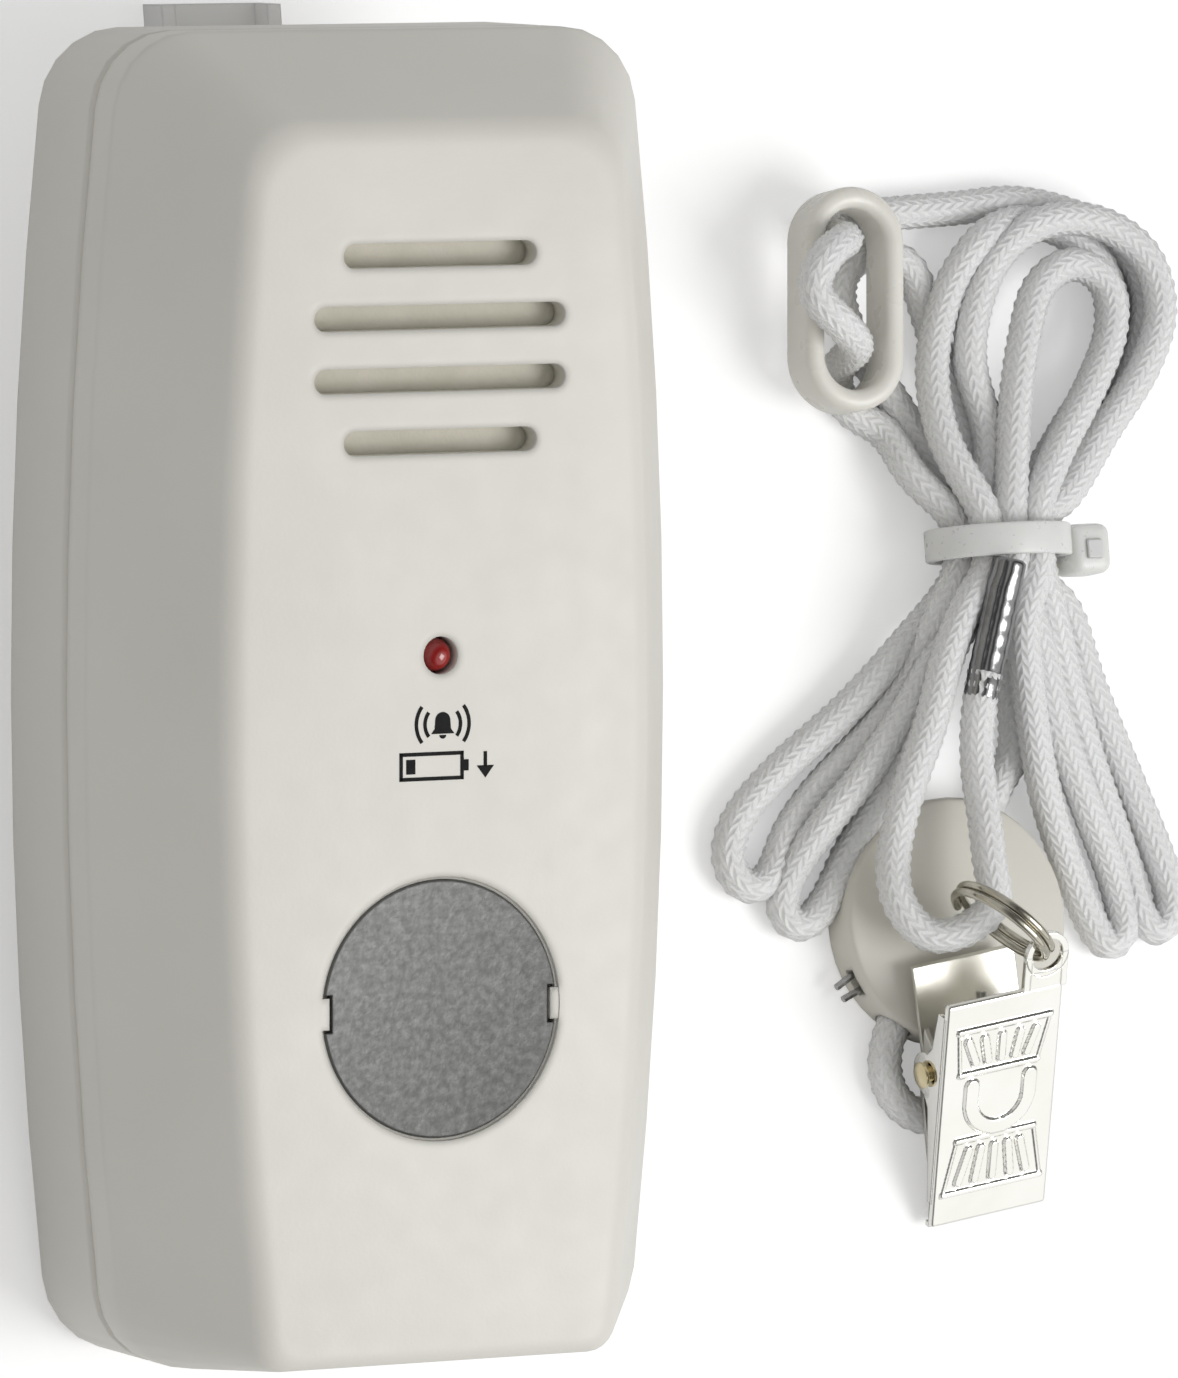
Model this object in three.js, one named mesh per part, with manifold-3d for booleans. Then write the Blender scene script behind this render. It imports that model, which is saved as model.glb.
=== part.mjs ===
// A magnetic fall alarm lying on its spring belt clip, with its pull cord tied in a hank beside it.
// Millimetres. Z is up, Y runs to the top of the alarm, and the alarm's base rests on Z = 0.
import * as THREE from "three";
import { mergeVertices } from "three/addons/utils/BufferGeometryUtils.js";
import Module from "manifold-3d";

const wasm = await Module();
wasm.setup();

// Clearances
const GAP = 0.3; // between pieces that touch or seat on each other
const RUNNING = 0.08; // round a hinge pin
const CUT = 1; // how far a cutting shape reaches past the face that it opens

// Housing, in the alarm's own frame: back face at z = 0, middle of the height at y = 0
const WIDTH = 57.4;
const HEIGHT = 118.9;
const DEPTH = 30.2;
const SIDE_BOW_RADIUS = 480;
const PLAN_CORNER = 7.5;
const FACE_CORNER_TOP = 5.7;
const FACE_CORNER_BOTTOM = 2.2;
const WALL = 2;
const FRONT_WALL = 2.2;
const PARTING_Z = 13;
const PARTING_CHAMFER = 0.4;
const SKIRT_Z = 17.4;
const BEVEL_INSET = 8.2;
const BEVEL_INSET_BOTTOM = 1;
const FACE_EDGE_RADIUS = 3;
const FACE_EDGE_RADIUS_BOTTOM = 1.3;
const REAR_EDGE_RADIUS = 2;
const LIP_WALL = 1.1;
const LIP_RISE = 1.8;

// Grille, print side of the face and indicator
const SLOT_HEIGHT = 2.2;
const SLOT_PITCH = 5.5;
const SLOT_LENGTHS = [19, 24.7, 24.7, 19];
const GRILLE_Y = 31.7;
const LED_Y = 4.5;
const LED_RADIUS = 1.5;
const LED_FLANGE_RADIUS = 1.9;
const LED_HOLE_RADIUS = 1.7;
const LED_PROUD = 0.1;

// Keeper plate and its recess
const KEEPER_Y = -26.9;
const KEEPER_RADIUS = 11.5;
const KEEPER_THICK = 1;
const KEEPER_CHAMFER = 0.15;
const KEEPER_SUNK = 0.1;
const NOTCH_HEIGHT = 3.4;
const NOTCH_DEPTH = 0.9;
const RECESS_BOSS_DROP = 1.5;

// Sounder and dust screen behind the grille
const SOUNDER_RADIUS = 13.5;
const SOUNDER_HEIGHT = 8;
const SOUNDER_PORT_RADIUS = 2.4;
const SCREEN_THICK = 0.7;
const SOUNDER_RING_WALL = 1;

// Battery and its bay
const BATTERY_WIDTH = 26.5;
const BATTERY_LENGTH = 46.4;
const BATTERY_THICK = 17.5;
const BATTERY_CORNER = 2.5;
const TERMINAL_SPACING = 12.7;
const TERMINAL_HEIGHT = 2.6;
const SMALL_TERMINAL_RADIUS = 2.85;
const LARGE_TERMINAL_RADIUS = 3.9;
const SNAP_WIDTH = 25;
const SNAP_THICK = 5;
const SNAP_HEIGHT = 11;
const BAY_WALL = 1.2;
const BAY_SIDE_CLEARANCE = 0.75;
const BAY_WIRE_ROOM = 1.5;
const WIRE_RADIUS = 0.65;
const LEAD_SPREAD = 3;

// Battery door
const DOOR_THICK = 1.7;
const DOOR_TRAVEL = 8;
const DOOR_HOOK = 0.75;
const DOOR_HOOK_THICK = 0.7;
const DOOR_HOOK_LENGTH = 6.5;
const DOOR_HOOKS = 3;
const GRIP_LINES = 5;
const GRIP_PITCH = 1.6;

// Circuit board and what it carries
const BOARD_WIDTH = 34;
const BOARD_TOP_Y = 14;
const BOARD_LENGTH = 58;
const BOARD_THICK = 1.6;
const BOARD_FROM_FACE = 5.6;
const BOARD_SCREW_X = 13;
const BOARD_SCREW_EDGE = 4;
const BOARD_POST_RADIUS = 2.6;
const CHIP = [5, 6, 1.6];
const REED_RADIUS = 1;
const REED_LENGTH = 14;
const CAPACITOR_RADIUS = 2.5;
const CAPACITOR_LENGTH = 7;

// Screws
const CASE_SCREW_X = 18.8;
const CASE_SCREW_Y = 49.5;
const CASE_SCREW_LENGTH = 12;
const CASE_SCREW_RADIUS = 1.1;
const CASE_SCREW_HEAD_RADIUS = 2.5;
const CASE_SCREW_HEAD = 1.8;
const CASE_SCREW_SUNK = 5.2;
const FRONT_POST_RADIUS = 3;
const REAR_POST_RADIUS = 3.8;
const BOARD_SCREW_LENGTH = 3.2;
const BOARD_SCREW_RADIUS = 0.9;
const BOARD_SCREW_HEAD_RADIUS = 1.9;
const BOARD_SCREW_HEAD = 0.9;

// Spring belt clip on the back
const CLIP_WIDTH = 12;
const CLIP_WALL = 1.4;
const CLIP_TOP_Y = 60.8;
const CLIP_STAND_OFF = 19;
const CLIP_PIVOT_Y = 38;
const CLIP_PIVOT_DEPTH = 8;
const CLIP_BEND_Y = 34.5;
const CLIP_TOE_Y = -3;
const CLIP_TIP_LENGTH = 6;
const CLIP_TIP_FLARE = 2.6;
const CLIP_FLANGE = 4;
const CLIP_EAR_RADIUS = 2.6;
const CLIP_PIN_RADIUS = 1;
const CLIP_PIN_HEAD_RADIUS = 1.6;
const CLIP_PIN_HEAD = 0.6;
const LUG_WALL = 1.4;
const LUG_BASE = 10;
const CLIP_SPRING_WIRE = 0.35;
const CLIP_SPRING_RADIUS = 1.9;
const CLIP_SPRING_TURNS = 4;
const CLIP_SPRING_LEG = 12;

// Pull cord: its pieces are placed from the middle of the cable tie
const CORD_RADIUS = 1.5;
const TIE_FROM_HOUSING = 46.5;
const TIE_Y = 10.2;
const HANK_FAN = 6.6;
const HANK_THICK = 9.6;
const HANK_WAIST = 11.6;
const TIE_WALL = 1;
const TIE_WIDTH = 3;
const TIE_HEAD = [4.2, 4.9, 5.4];
const TIE_HEAD_DROP = 1.2;

// Cord slider
const SLIDER_LENGTH = 21;
const SLIDER_WIDTH = 10.3;
const SLIDER_DEPTH = 5;
const SLIDER_RIM = 2;
const SLIDER_EDGE = 0.9;
const SLIDER_TURN = -4.6;
const SLIDER_AT = [-14.1, 23.1];
const STRAND_UNDER_SLIDER = 2.7;

// Cord tip
const TIP_RADIUS = 1.65;
const TIP_TOP = [-1.9, -2.2];
const TIP_END = [-5.1, -14.8];
const TIP_EDGE = 0.3;

// Magnet holder
const HOLDER_AT = [-6.3, -34.9];
const HOLDER_RADIUS = 11.5;
const HOLDER_HEIGHT = 4.8;
const HOLDER_EDGE = 0.8;
const MAGNET_RADIUS = 8.5;
const MAGNET_THICK = 2;
const HOLDER_CORD_ANGLE = 236;
const HOLDER_CORD_DEPTH = 1.9;
const STAPLE_ANGLE = 207.5;
const STAPLE_WIRE = 0.35;
const STAPLE_SPREAD = 1.3;
const STAPLE_PROUD = 1.9;
const STAPLE_DEPTH = 1.8;

// Split ring
const RING_RADIUS = 5;
const RING_WIRE = 0.4;
const RING_PITCH = 0.84;
const RING_ACROSS = [0.682, -0.664, 0.301];
const RING_NORMAL = [0.67, 0.733, 0.099];

// Cloth clip, in its own frame: x across, y from the jaw's tip to the lever's end, z out of the front
const CLOTH_TIP_AT = [-3.9, -62.5, 1.75];
const CLOTH_TURN = 8.5;
const CLOTH_PITCH = 31;
const CLOTH_WIDTH = 12.5;
const CLOTH_LENGTH = 23.6;
const CLOTH_SHEET = 0.5;
const CLOTH_PIN_FROM_TIP = 15;
const CLOTH_PIN_DEPTH = 3;
const CLOTH_PIN_RADIUS = 0.75;
const CLOTH_PIN_HEAD_RADIUS = 1.25;
const CLOTH_PIN_HEAD = 0.5;
const CLOTH_EAR_RADIUS = 2.1;
const CLOTH_FLANGE = 2.2;
const CLOTH_SPREAD = 8.3;
const CLOTH_TIP_DROP = 1;
const CLOTH_EMBOSS = 0.3;
const CLOTH_SPRING_WIRE = 0.25;
const CLOTH_SPRING_RADIUS = 1.15;
const CLOTH_SPRING_TURNS = 4;
const CLOTH_SPRING_LEG = 5.5;
const EYE_X = 4.2;
const EYE_WIDTH = 4.6;
const EYE_REACH = 5.6;
const EYE_HOLE_RADIUS = 1.6;

// Materials
const finish = (color, roughness, metalness = 0) =>
  new THREE.MeshStandardMaterial({ color, roughness, metalness });
const CREAM = finish(0xd9d6cd, 0.5);
const REAR_GREY = finish(0xcfccc3, 0.5);
const CLIP_GREY = finish(0xc9c7c0, 0.45);
const STEEL = finish(0x7d7d7d, 0.45, 1);
const CHROME = finish(0xd8d2c0, 0.12, 1);
const RED_LENS = finish(0xa01414, 0.15);
const BLACK_PLASTIC = finish(0x1c1c1c, 0.5);
const BOARD_GREEN = finish(0x2f6b3c, 0.5);
const FELT = finish(0xc8c5bb, 0.9);
const WIRE_RED = finish(0xb3201c, 0.5);
const WIRE_BLACK = finish(0x202020, 0.5);
const BATTERY_CASE = finish(0x8d8f92, 0.4, 0.6);
const CORD_WHITE = finish(0xeceae6, 0.7);
const NYLON = finish(0xeae8e0, 0.35);
const MAGNET_GREY = finish(0x4a4a4c, 0.5, 0.5);

const degrees = THREE.MathUtils.degToRad;
const lerp = THREE.MathUtils.lerp;

// The alarm leans on the flat outer face of its clip and on its rounded lower back edge.
const leanRun = CLIP_TOP_Y + HEIGHT / 2 - REAR_EDGE_RADIUS;
const leanRise = CLIP_STAND_OFF + REAR_EDGE_RADIUS;
const REST_TILT = Math.atan2(leanRise, leanRun) - Math.asin(REAR_EDGE_RADIUS / Math.hypot(leanRun, leanRise));

// A closed geometry as a solid that can be cut and joined.
function solid(geometry) {
  const bare = geometry.clone();
  bare.deleteAttribute("normal");
  bare.deleteAttribute("uv");
  const merged = mergeVertices(bare, 1e-4);
  const mesh = new wasm.Mesh({
    numProp: 3,
    vertProperties: merged.attributes.position.array,
    triVerts: new Uint32Array(merged.index.array),
  });
  return new wasm.Manifold(mesh);
}

// A solid back as a geometry.
function geometryOf(body) {
  const mesh = body.getMesh();
  const positions = new Float32Array(mesh.numVert * 3);
  for (let i = 0; i < mesh.numVert; i++) {
    const at = i * mesh.numProp;
    positions.set(mesh.vertProperties.subarray(at, at + 3), i * 3);
  }
  const geometry = new THREE.BufferGeometry();
  geometry.setAttribute("position", new THREE.BufferAttribute(positions, 3));
  geometry.setIndex(new THREE.BufferAttribute(mesh.triVerts.slice(), 1));
  geometry.computeVertexNormals();
  return geometry;
}

function addPiece(group, name, body, material) {
  const mesh = new THREE.Mesh(geometryOf(body), material);
  mesh.name = name;
  group.add(mesh);
  return mesh;
}

const joined = (bodies) => bodies.reduce((sum, body) => sum.add(body));
const cutBy = (body, cutters) => cutters.reduce((rest, cutter) => rest.subtract(cutter), body);

function block([x0, x1], [y0, y1], [z0, z1]) {
  const geometry = new THREE.BoxGeometry(x1 - x0, y1 - y0, z1 - z0);
  return solid(geometry.translate((x0 + x1) / 2, (y0 + y1) / 2, (z0 + z1) / 2));
}

// A solid of revolution about an upright axis: the profile is [radius, z] pairs from the bottom up.
function turned(profile, at = [0, 0], sides = 32) {
  const points = profile.map(([radius, z]) => new THREE.Vector2(radius, z));
  const geometry = new THREE.LatheGeometry(points, sides).rotateX(Math.PI / 2);
  return solid(geometry.translate(at[0], at[1], 0));
}

const rod = (radius, z0, z1, at, sides = 24) =>
  turned([[0, z0], [radius, z0], [radius, z1], [0, z1]], at, sides);

// A solid of revolution about a line along X: the profile is [radius, x] pairs.
function turnedAcross(profile, y, z, sides = 24) {
  const points = profile.map(([radius, x]) => new THREE.Vector2(radius, x));
  const geometry = new THREE.LatheGeometry(points, sides).rotateZ(-Math.PI / 2);
  return solid(geometry.translate(0, y, z));
}

const rodAcross = (radius, x0, x1, y, z, sides = 24) =>
  turnedAcross([[0, x0], [radius, x0], [radius, x1], [0, x1]], y, z, sides);

function extruded(shape, z0, z1, curveSegments = 8) {
  const options = { depth: z1 - z0, bevelEnabled: false, curveSegments };
  return solid(new THREE.ExtrudeGeometry(shape, options).translate(0, 0, z0));
}

// A shape drawn in y and z, carried along X.
function extrudedAcross(shape, x0, x1, curveSegments = 8) {
  const options = { depth: x1 - x0, bevelEnabled: false, curveSegments };
  const geometry = new THREE.ExtrudeGeometry(shape, options).translate(0, 0, x0);
  const turn = new THREE.Matrix4().makeBasis(
    new THREE.Vector3(0, 1, 0),
    new THREE.Vector3(0, 0, 1),
    new THREE.Vector3(1, 0, 0),
  );
  return solid(geometry.applyMatrix4(turn));
}

const shapeOf = (points) => new THREE.Shape(points.map(([x, y]) => new THREE.Vector2(x, y)));

function smoothShape(points, divisions) {
  const knots = points.map(([x, y]) => new THREE.Vector3(x, y, 0));
  const curve = new THREE.CatmullRomCurve3(knots, true, "centripetal");
  return new THREE.Shape(curve.getPoints(divisions).slice(0, -1).map((p) => new THREE.Vector2(p.x, p.y)));
}

function stadium(length, width, x = 0, y = 0) {
  const reach = (length - width) / 2;
  const shape = new THREE.Shape();
  shape.absarc(x + reach, y, width / 2, -Math.PI / 2, Math.PI / 2, false);
  shape.absarc(x - reach, y, width / 2, Math.PI / 2, (3 * Math.PI) / 2, false);
  return shape;
}

function roundedRectangle(width, height, radius) {
  const x = width / 2 - radius;
  const y = height / 2 - radius;
  const shape = new THREE.Shape();
  shape.absarc(x, y, radius, 0, Math.PI / 2, false);
  shape.absarc(-x, y, radius, Math.PI / 2, Math.PI, false);
  shape.absarc(-x, -y, radius, Math.PI, (3 * Math.PI) / 2, false);
  shape.absarc(x, -y, radius, (3 * Math.PI) / 2, 2 * Math.PI, false);
  return shape;
}

function circle(radius, x = 0, y = 0) {
  const shape = new THREE.Shape();
  shape.absarc(x, y, radius, 0, 2 * Math.PI, false);
  return shape;
}

// A round tube that follows a smooth line through the points.
function tubeAlong(points, radius, { sides = 8, steps = 40, closed = false } = {}) {
  const knots = points.map(([x, y, z]) => new THREE.Vector3(x, y, z));
  const path = new THREE.CatmullRomCurve3(knots, closed, "centripetal");
  const ring = Array.from({ length: sides }, (_, i) => {
    const angle = (2 * Math.PI * i) / sides;
    return new THREE.Vector2(radius * Math.cos(angle), radius * Math.sin(angle));
  });
  const options = { extrudePath: path, steps, bevelEnabled: false };
  return solid(new THREE.ExtrudeGeometry(new THREE.Shape(ring), options));
}

// A closed skin over a stack of level outlines, each a list of [x, y] pairs with its own z.
function loft(rings) {
  const count = rings[0].points.length;
  const positions = [];
  for (const { points, z } of rings) {
    for (const [x, y] of points) positions.push(x, y, z);
  }
  const index = [];
  for (let level = 0; level + 1 < rings.length; level++) {
    for (let i = 0; i < count; i++) {
      const next = (i + 1) % count;
      const low = level * count;
      const high = low + count;
      index.push(low + i, low + next, high + next, low + i, high + next, high + i);
    }
  }
  const last = (rings.length - 1) * count;
  for (let i = 1; i + 1 < count; i++) {
    index.push(0, i + 1, i, last, last + i, last + i + 1);
  }
  const geometry = new THREE.BufferGeometry();
  geometry.setAttribute("position", new THREE.Float32BufferAttribute(positions, 3));
  geometry.setIndex(index);
  return solid(geometry);
}

// The housing's outline at one height: bowed long sides, flat ends, rounded corners.
function housingOutline(inset, bottomInset, topCorner, bottomCorner) {
  const cornerSteps = 5;
  const sideSteps = 8;
  const bow = SIDE_BOW_RADIUS - inset;
  const bowX = WIDTH / 2 - inset - bow;
  const corner = (end, radius) => {
    const y = end - radius;
    const x = bowX + Math.sqrt((bow - radius) ** 2 - y ** 2);
    return { x, y, radius, meets: Math.atan2(y, x - bowX) };
  };
  const low = corner(HEIGHT / 2 - bottomInset, bottomCorner);
  const high = corner(HEIGHT / 2 - inset, topCorner);
  const right = [];
  for (let i = 0; i <= cornerSteps; i++) {
    const angle = lerp(-Math.PI / 2, -low.meets, i / cornerSteps);
    right.push([low.x + low.radius * Math.cos(angle), -low.y + low.radius * Math.sin(angle)]);
  }
  for (let i = 1; i < sideSteps; i++) {
    const angle = lerp(-low.meets, high.meets, i / sideSteps);
    right.push([bowX + bow * Math.cos(angle), bow * Math.sin(angle)]);
  }
  for (let i = 0; i <= cornerSteps; i++) {
    const angle = lerp(high.meets, Math.PI / 2, i / cornerSteps);
    right.push([high.x + high.radius * Math.cos(angle), high.y + high.radius * Math.sin(angle)]);
  }
  const left = right.map(([x, y]) => [-x, y]).reverse();
  return [...right, ...left];
}

// How far the lower end of the front cover has drawn in at height z: a slight bevel, then a round edge.
function lowerInset(z) {
  const bevel = (BEVEL_INSET_BOTTOM * Math.max(0, z - SKIRT_Z)) / (DEPTH - SKIRT_Z);
  const into = Math.min(FACE_EDGE_RADIUS_BOTTOM, Math.max(0, z - (DEPTH - FACE_EDGE_RADIUS_BOTTOM)));
  return bevel + FACE_EDGE_RADIUS_BOTTOM - Math.sqrt(FACE_EDGE_RADIUS_BOTTOM ** 2 - into ** 2);
}

function housingRing(z, inset, extra = 0) {
  const share = Math.min(1, Math.max(0, (z - SKIRT_Z) / (DEPTH - SKIRT_Z)));
  const top = Math.max(1, lerp(PLAN_CORNER, FACE_CORNER_TOP, share) - extra);
  const bottom = Math.max(1, lerp(PLAN_CORNER, FACE_CORNER_BOTTOM, share) - extra);
  return { z, points: housingOutline(inset, lowerInset(z) + (z < SKIRT_Z ? inset : extra), top, bottom) };
}

// The bevel's slope, and the round edge between it and the face.
const bevelRise = DEPTH - SKIRT_Z;
const bevelAngle = Math.atan2(BEVEL_INSET, bevelRise);
const bevelInsetAt = (z) => Math.max(0, z - SKIRT_Z) * Math.tan(bevelAngle);

function frontOuter() {
  const start = PARTING_Z + GAP / 2;
  const rings = [
    housingRing(start, PARTING_CHAMFER),
    housingRing(start + PARTING_CHAMFER, 0),
    housingRing(SKIRT_Z, 0),
    housingRing(SKIRT_Z + bevelRise / 2, BEVEL_INSET / 2),
  ];
  const edgeSteps = 5;
  const edgeInset = BEVEL_INSET + FACE_EDGE_RADIUS * Math.tan((Math.PI / 2 - bevelAngle) / 2);
  const centreZ = DEPTH - FACE_EDGE_RADIUS;
  for (let i = 0; i <= edgeSteps; i++) {
    const lift = lerp(bevelAngle, Math.PI / 2, i / edgeSteps);
    const inset = edgeInset - FACE_EDGE_RADIUS * Math.cos(lift);
    rings.push(housingRing(centreZ + FACE_EDGE_RADIUS * Math.sin(lift), inset));
  }
  return loft(rings);
}

function frontInner() {
  const ceiling = DEPTH - FRONT_WALL;
  const slanted = WALL / Math.cos(bevelAngle);
  return loft([
    housingRing(PARTING_Z - CUT, WALL, WALL),
    housingRing(SKIRT_Z, WALL, WALL),
    housingRing(ceiling, bevelInsetAt(ceiling) + slanted, WALL),
  ]);
}

const casePosts = [
  [CASE_SCREW_X, CASE_SCREW_Y],
  [-CASE_SCREW_X, CASE_SCREW_Y],
  [-CASE_SCREW_X, -CASE_SCREW_Y],
  [CASE_SCREW_X, -CASE_SCREW_Y],
];
const screwTipZ = CASE_SCREW_SUNK + CASE_SCREW_HEAD + CASE_SCREW_LENGTH;
const faceInnerZ = DEPTH - FRONT_WALL;
const boardFrontZ = DEPTH - BOARD_FROM_FACE;
const boardBackZ = boardFrontZ - BOARD_THICK;
const boardScrews = [
  [-BOARD_SCREW_X, BOARD_TOP_Y - BOARD_SCREW_EDGE],
  [BOARD_SCREW_X, BOARD_TOP_Y - BOARD_LENGTH + BOARD_SCREW_EDGE],
];
const screenFrontZ = faceInnerZ - GAP;
const sounderFrontZ = screenFrontZ - SCREEN_THICK - GAP;
const keeperFloorZ = DEPTH - KEEPER_SUNK - KEEPER_THICK - GAP;

function keeperRecess() {
  const pocket = rod(KEEPER_RADIUS + GAP, keeperFloorZ, DEPTH + CUT, [0, KEEPER_Y], 64);
  const reach = KEEPER_RADIUS + 2 * GAP;
  const claw = [KEEPER_RADIUS - NOTCH_DEPTH + GAP, reach];
  const half = NOTCH_HEIGHT / 2 - GAP;
  const z = [keeperFloorZ, DEPTH - KEEPER_SUNK];
  const right = block(claw, [KEEPER_Y - half, KEEPER_Y + half], z);
  const left = block([-claw[1], -claw[0]], [KEEPER_Y - half, KEEPER_Y + half], z);
  return cutBy(pocket, [right, left]);
}

function frontCover() {
  const outer = frontOuter();
  const shell = outer.subtract(frontInner());
  const posts = casePosts.map((at) => rod(FRONT_POST_RADIUS, PARTING_Z + GAP / 2, DEPTH, at));
  const boardPosts = boardScrews.map((at) => rod(BOARD_POST_RADIUS, boardFrontZ + GAP, faceInnerZ + CUT / 2, at));
  const ringInner = SOUNDER_RADIUS + GAP;
  const ringBottom = sounderFrontZ - SOUNDER_HEIGHT + FRONT_WALL;
  const ring = rod(ringInner + SOUNDER_RING_WALL, ringBottom, faceInnerZ + CUT / 2, [0, GRILLE_Y], 48);
  const ringBore = rod(ringInner, ringBottom - CUT, faceInnerZ, [0, GRILLE_Y], 48);
  const boss = rod(KEEPER_RADIUS + WALL, keeperFloorZ - RECESS_BOSS_DROP, faceInnerZ + CUT / 2, [0, KEEPER_Y], 48);
  const inside = joined([...posts, ...boardPosts, ring.subtract(ringBore), boss]).intersect(outer);
  const slots = SLOT_LENGTHS.map((length, i) => {
    const y = GRILLE_Y + (1.5 - i) * SLOT_PITCH;
    return extruded(stadium(length, SLOT_HEIGHT, 0, y), faceInnerZ - CUT, DEPTH + CUT, 6);
  });
  const pilots = casePosts.map((at) =>
    rod(CASE_SCREW_RADIUS + GAP, PARTING_Z - CUT, screwTipZ + GAP, at, 16));
  const boardPilots = boardScrews.map((at) =>
    rod(BOARD_SCREW_RADIUS + GAP, boardFrontZ - CUT, boardBackZ + BOARD_SCREW_LENGTH + 2 * GAP, at, 16));
  const ledHole = rod(LED_HOLE_RADIUS, faceInnerZ - CUT, DEPTH + CUT, [0, LED_Y], 24);
  return cutBy(shell.add(inside), [...slots, ...pilots, ...boardPilots, ledHole, keeperRecess()]);
}

function keeperPlate() {
  const top = DEPTH - KEEPER_SUNK;
  const bottom = top - KEEPER_THICK;
  const profile = [
    [0, bottom],
    [KEEPER_RADIUS, bottom],
    [KEEPER_RADIUS, top - KEEPER_CHAMFER],
    [KEEPER_RADIUS - KEEPER_CHAMFER, top],
    [0, top],
  ];
  const plate = turned(profile, [0, KEEPER_Y], 64);
  const y = [KEEPER_Y - NOTCH_HEIGHT / 2, KEEPER_Y + NOTCH_HEIGHT / 2];
  const z = [bottom - CUT, top + CUT];
  const inner = KEEPER_RADIUS - NOTCH_DEPTH;
  const outer = KEEPER_RADIUS + CUT;
  return cutBy(plate, [block([inner, outer], y, z), block([-outer, -inner], y, z)]);
}

function led() {
  const flangeTop = faceInnerZ - GAP;
  const flangeBottom = flangeTop - 1;
  const domeZ = DEPTH + LED_PROUD - LED_RADIUS;
  const profile = [[0, flangeBottom], [LED_FLANGE_RADIUS, flangeBottom], [LED_FLANGE_RADIUS, flangeTop]];
  profile.push([LED_RADIUS, flangeTop]);
  const domeSteps = 5;
  for (let i = 0; i <= domeSteps; i++) {
    const angle = ((Math.PI / 2) * i) / domeSteps;
    profile.push([i === domeSteps ? 0 : LED_RADIUS * Math.cos(angle), domeZ + LED_RADIUS * Math.sin(angle)]);
  }
  const legs = ledLegs().map(([x, y]) =>
    block([x - 0.25, x + 0.25], [y - 0.25, y + 0.25], [boardBackZ - 0.8, flangeBottom + 0.5]));
  return joined([turned(profile, [0, LED_Y], 24), ...legs]);
}

function ledLegs() {
  return [[-1.27, LED_Y], [1.27, LED_Y]];
}

function dustScreen() {
  return rod(SOUNDER_RADIUS, screenFrontZ - SCREEN_THICK, screenFrontZ, [0, GRILLE_Y], 48);
}

function sounder() {
  const top = sounderFrontZ;
  const bottom = top - SOUNDER_HEIGHT;
  const profile = [
    [0, bottom],
    [SOUNDER_RADIUS - 0.6, bottom],
    [SOUNDER_RADIUS, bottom + 0.6],
    [SOUNDER_RADIUS, top - 0.6],
    [SOUNDER_RADIUS - 0.6, top],
    [SOUNDER_PORT_RADIUS, top],
    [SOUNDER_PORT_RADIUS, top - SOUNDER_HEIGHT / 2],
    [0, top - SOUNDER_HEIGHT / 2],
  ];
  return turned(profile, [0, GRILLE_Y], 40);
}

function circuitBoard() {
  const middle = BOARD_TOP_Y - BOARD_LENGTH / 2;
  const shape = roundedRectangle(BOARD_WIDTH, BOARD_LENGTH, 2);
  const plate = extruded(shape, boardBackZ, boardFrontZ, 4);
  const board = plate.translate([0, middle, 0]);
  const screwHoles = boardScrews.map((at) =>
    rod(BOARD_SCREW_RADIUS + GAP, boardBackZ - CUT, boardFrontZ + CUT, at, 16));
  const legHoles = ledLegs().map((at) => rod(0.7, boardBackZ - CUT, boardFrontZ + CUT, at, 12));
  return cutBy(board, [...screwHoles, ...legHoles]);
}

function alarmChip() {
  const [width, length, thick] = CHIP;
  const x = -BOARD_WIDTH / 4;
  const y = LED_Y - length;
  const z = boardFrontZ + GAP;
  const body = block([x - width / 2, x + width / 2], [y - length / 2, y + length / 2], [z + 0.2, z + thick]);
  const pins = [-1.5, -0.5, 0.5, 1.5].map((k) => {
    const at = y + k * 1.27;
    return block([x - width / 2 - 1, x + width / 2 + 1], [at - 0.2, at + 0.2], [z, z + 0.5]);
  });
  return joined([body, ...pins]);
}

function reedSwitch() {
  const z = boardFrontZ + GAP + REED_RADIUS;
  const half = REED_LENGTH / 2;
  const profile = [[0, -half], [0.3, -half], [0.3, -half + 3], [REED_RADIUS, -half + 3.6]];
  profile.push([REED_RADIUS, half - 3.6], [0.3, half - 3], [0.3, half], [0, half]);
  return turnedAcross(profile, KEEPER_Y, z, 12);
}

function capacitor() {
  const at = [BOARD_WIDTH / 2 - CAPACITOR_RADIUS - 3, BOARD_TOP_Y - 6];
  const top = boardBackZ - GAP;
  return rod(CAPACITOR_RADIUS, top - CAPACITOR_LENGTH, top, at, 20);
}

// The battery lies along Y in its bay, with its terminals towards the top of the alarm.
const batteryHalf = BATTERY_WIDTH / 2;
const bayHalf = batteryHalf + BAY_SIDE_CLEARANCE;
const bayOuterHalf = bayHalf + BAY_WALL;
const batteryBackZ = DOOR_THICK + 0.3 + 0.4;
const batteryFrontZ = batteryBackZ + BATTERY_THICK;
const batteryMidZ = (batteryBackZ + batteryFrontZ) / 2;
const bayFrontZ = batteryFrontZ + GAP;
const bayLowY = -HEIGHT / 2 + WALL + 1 + BAY_WALL;
const batteryLowY = bayLowY + 0.5;
const batteryHighY = batteryLowY + BATTERY_LENGTH;
const snapLowY = batteryHighY + GAP;
const snapHighY = snapLowY + SNAP_THICK;
const bayHighY = snapHighY + BAY_WIRE_ROOM;

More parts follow.
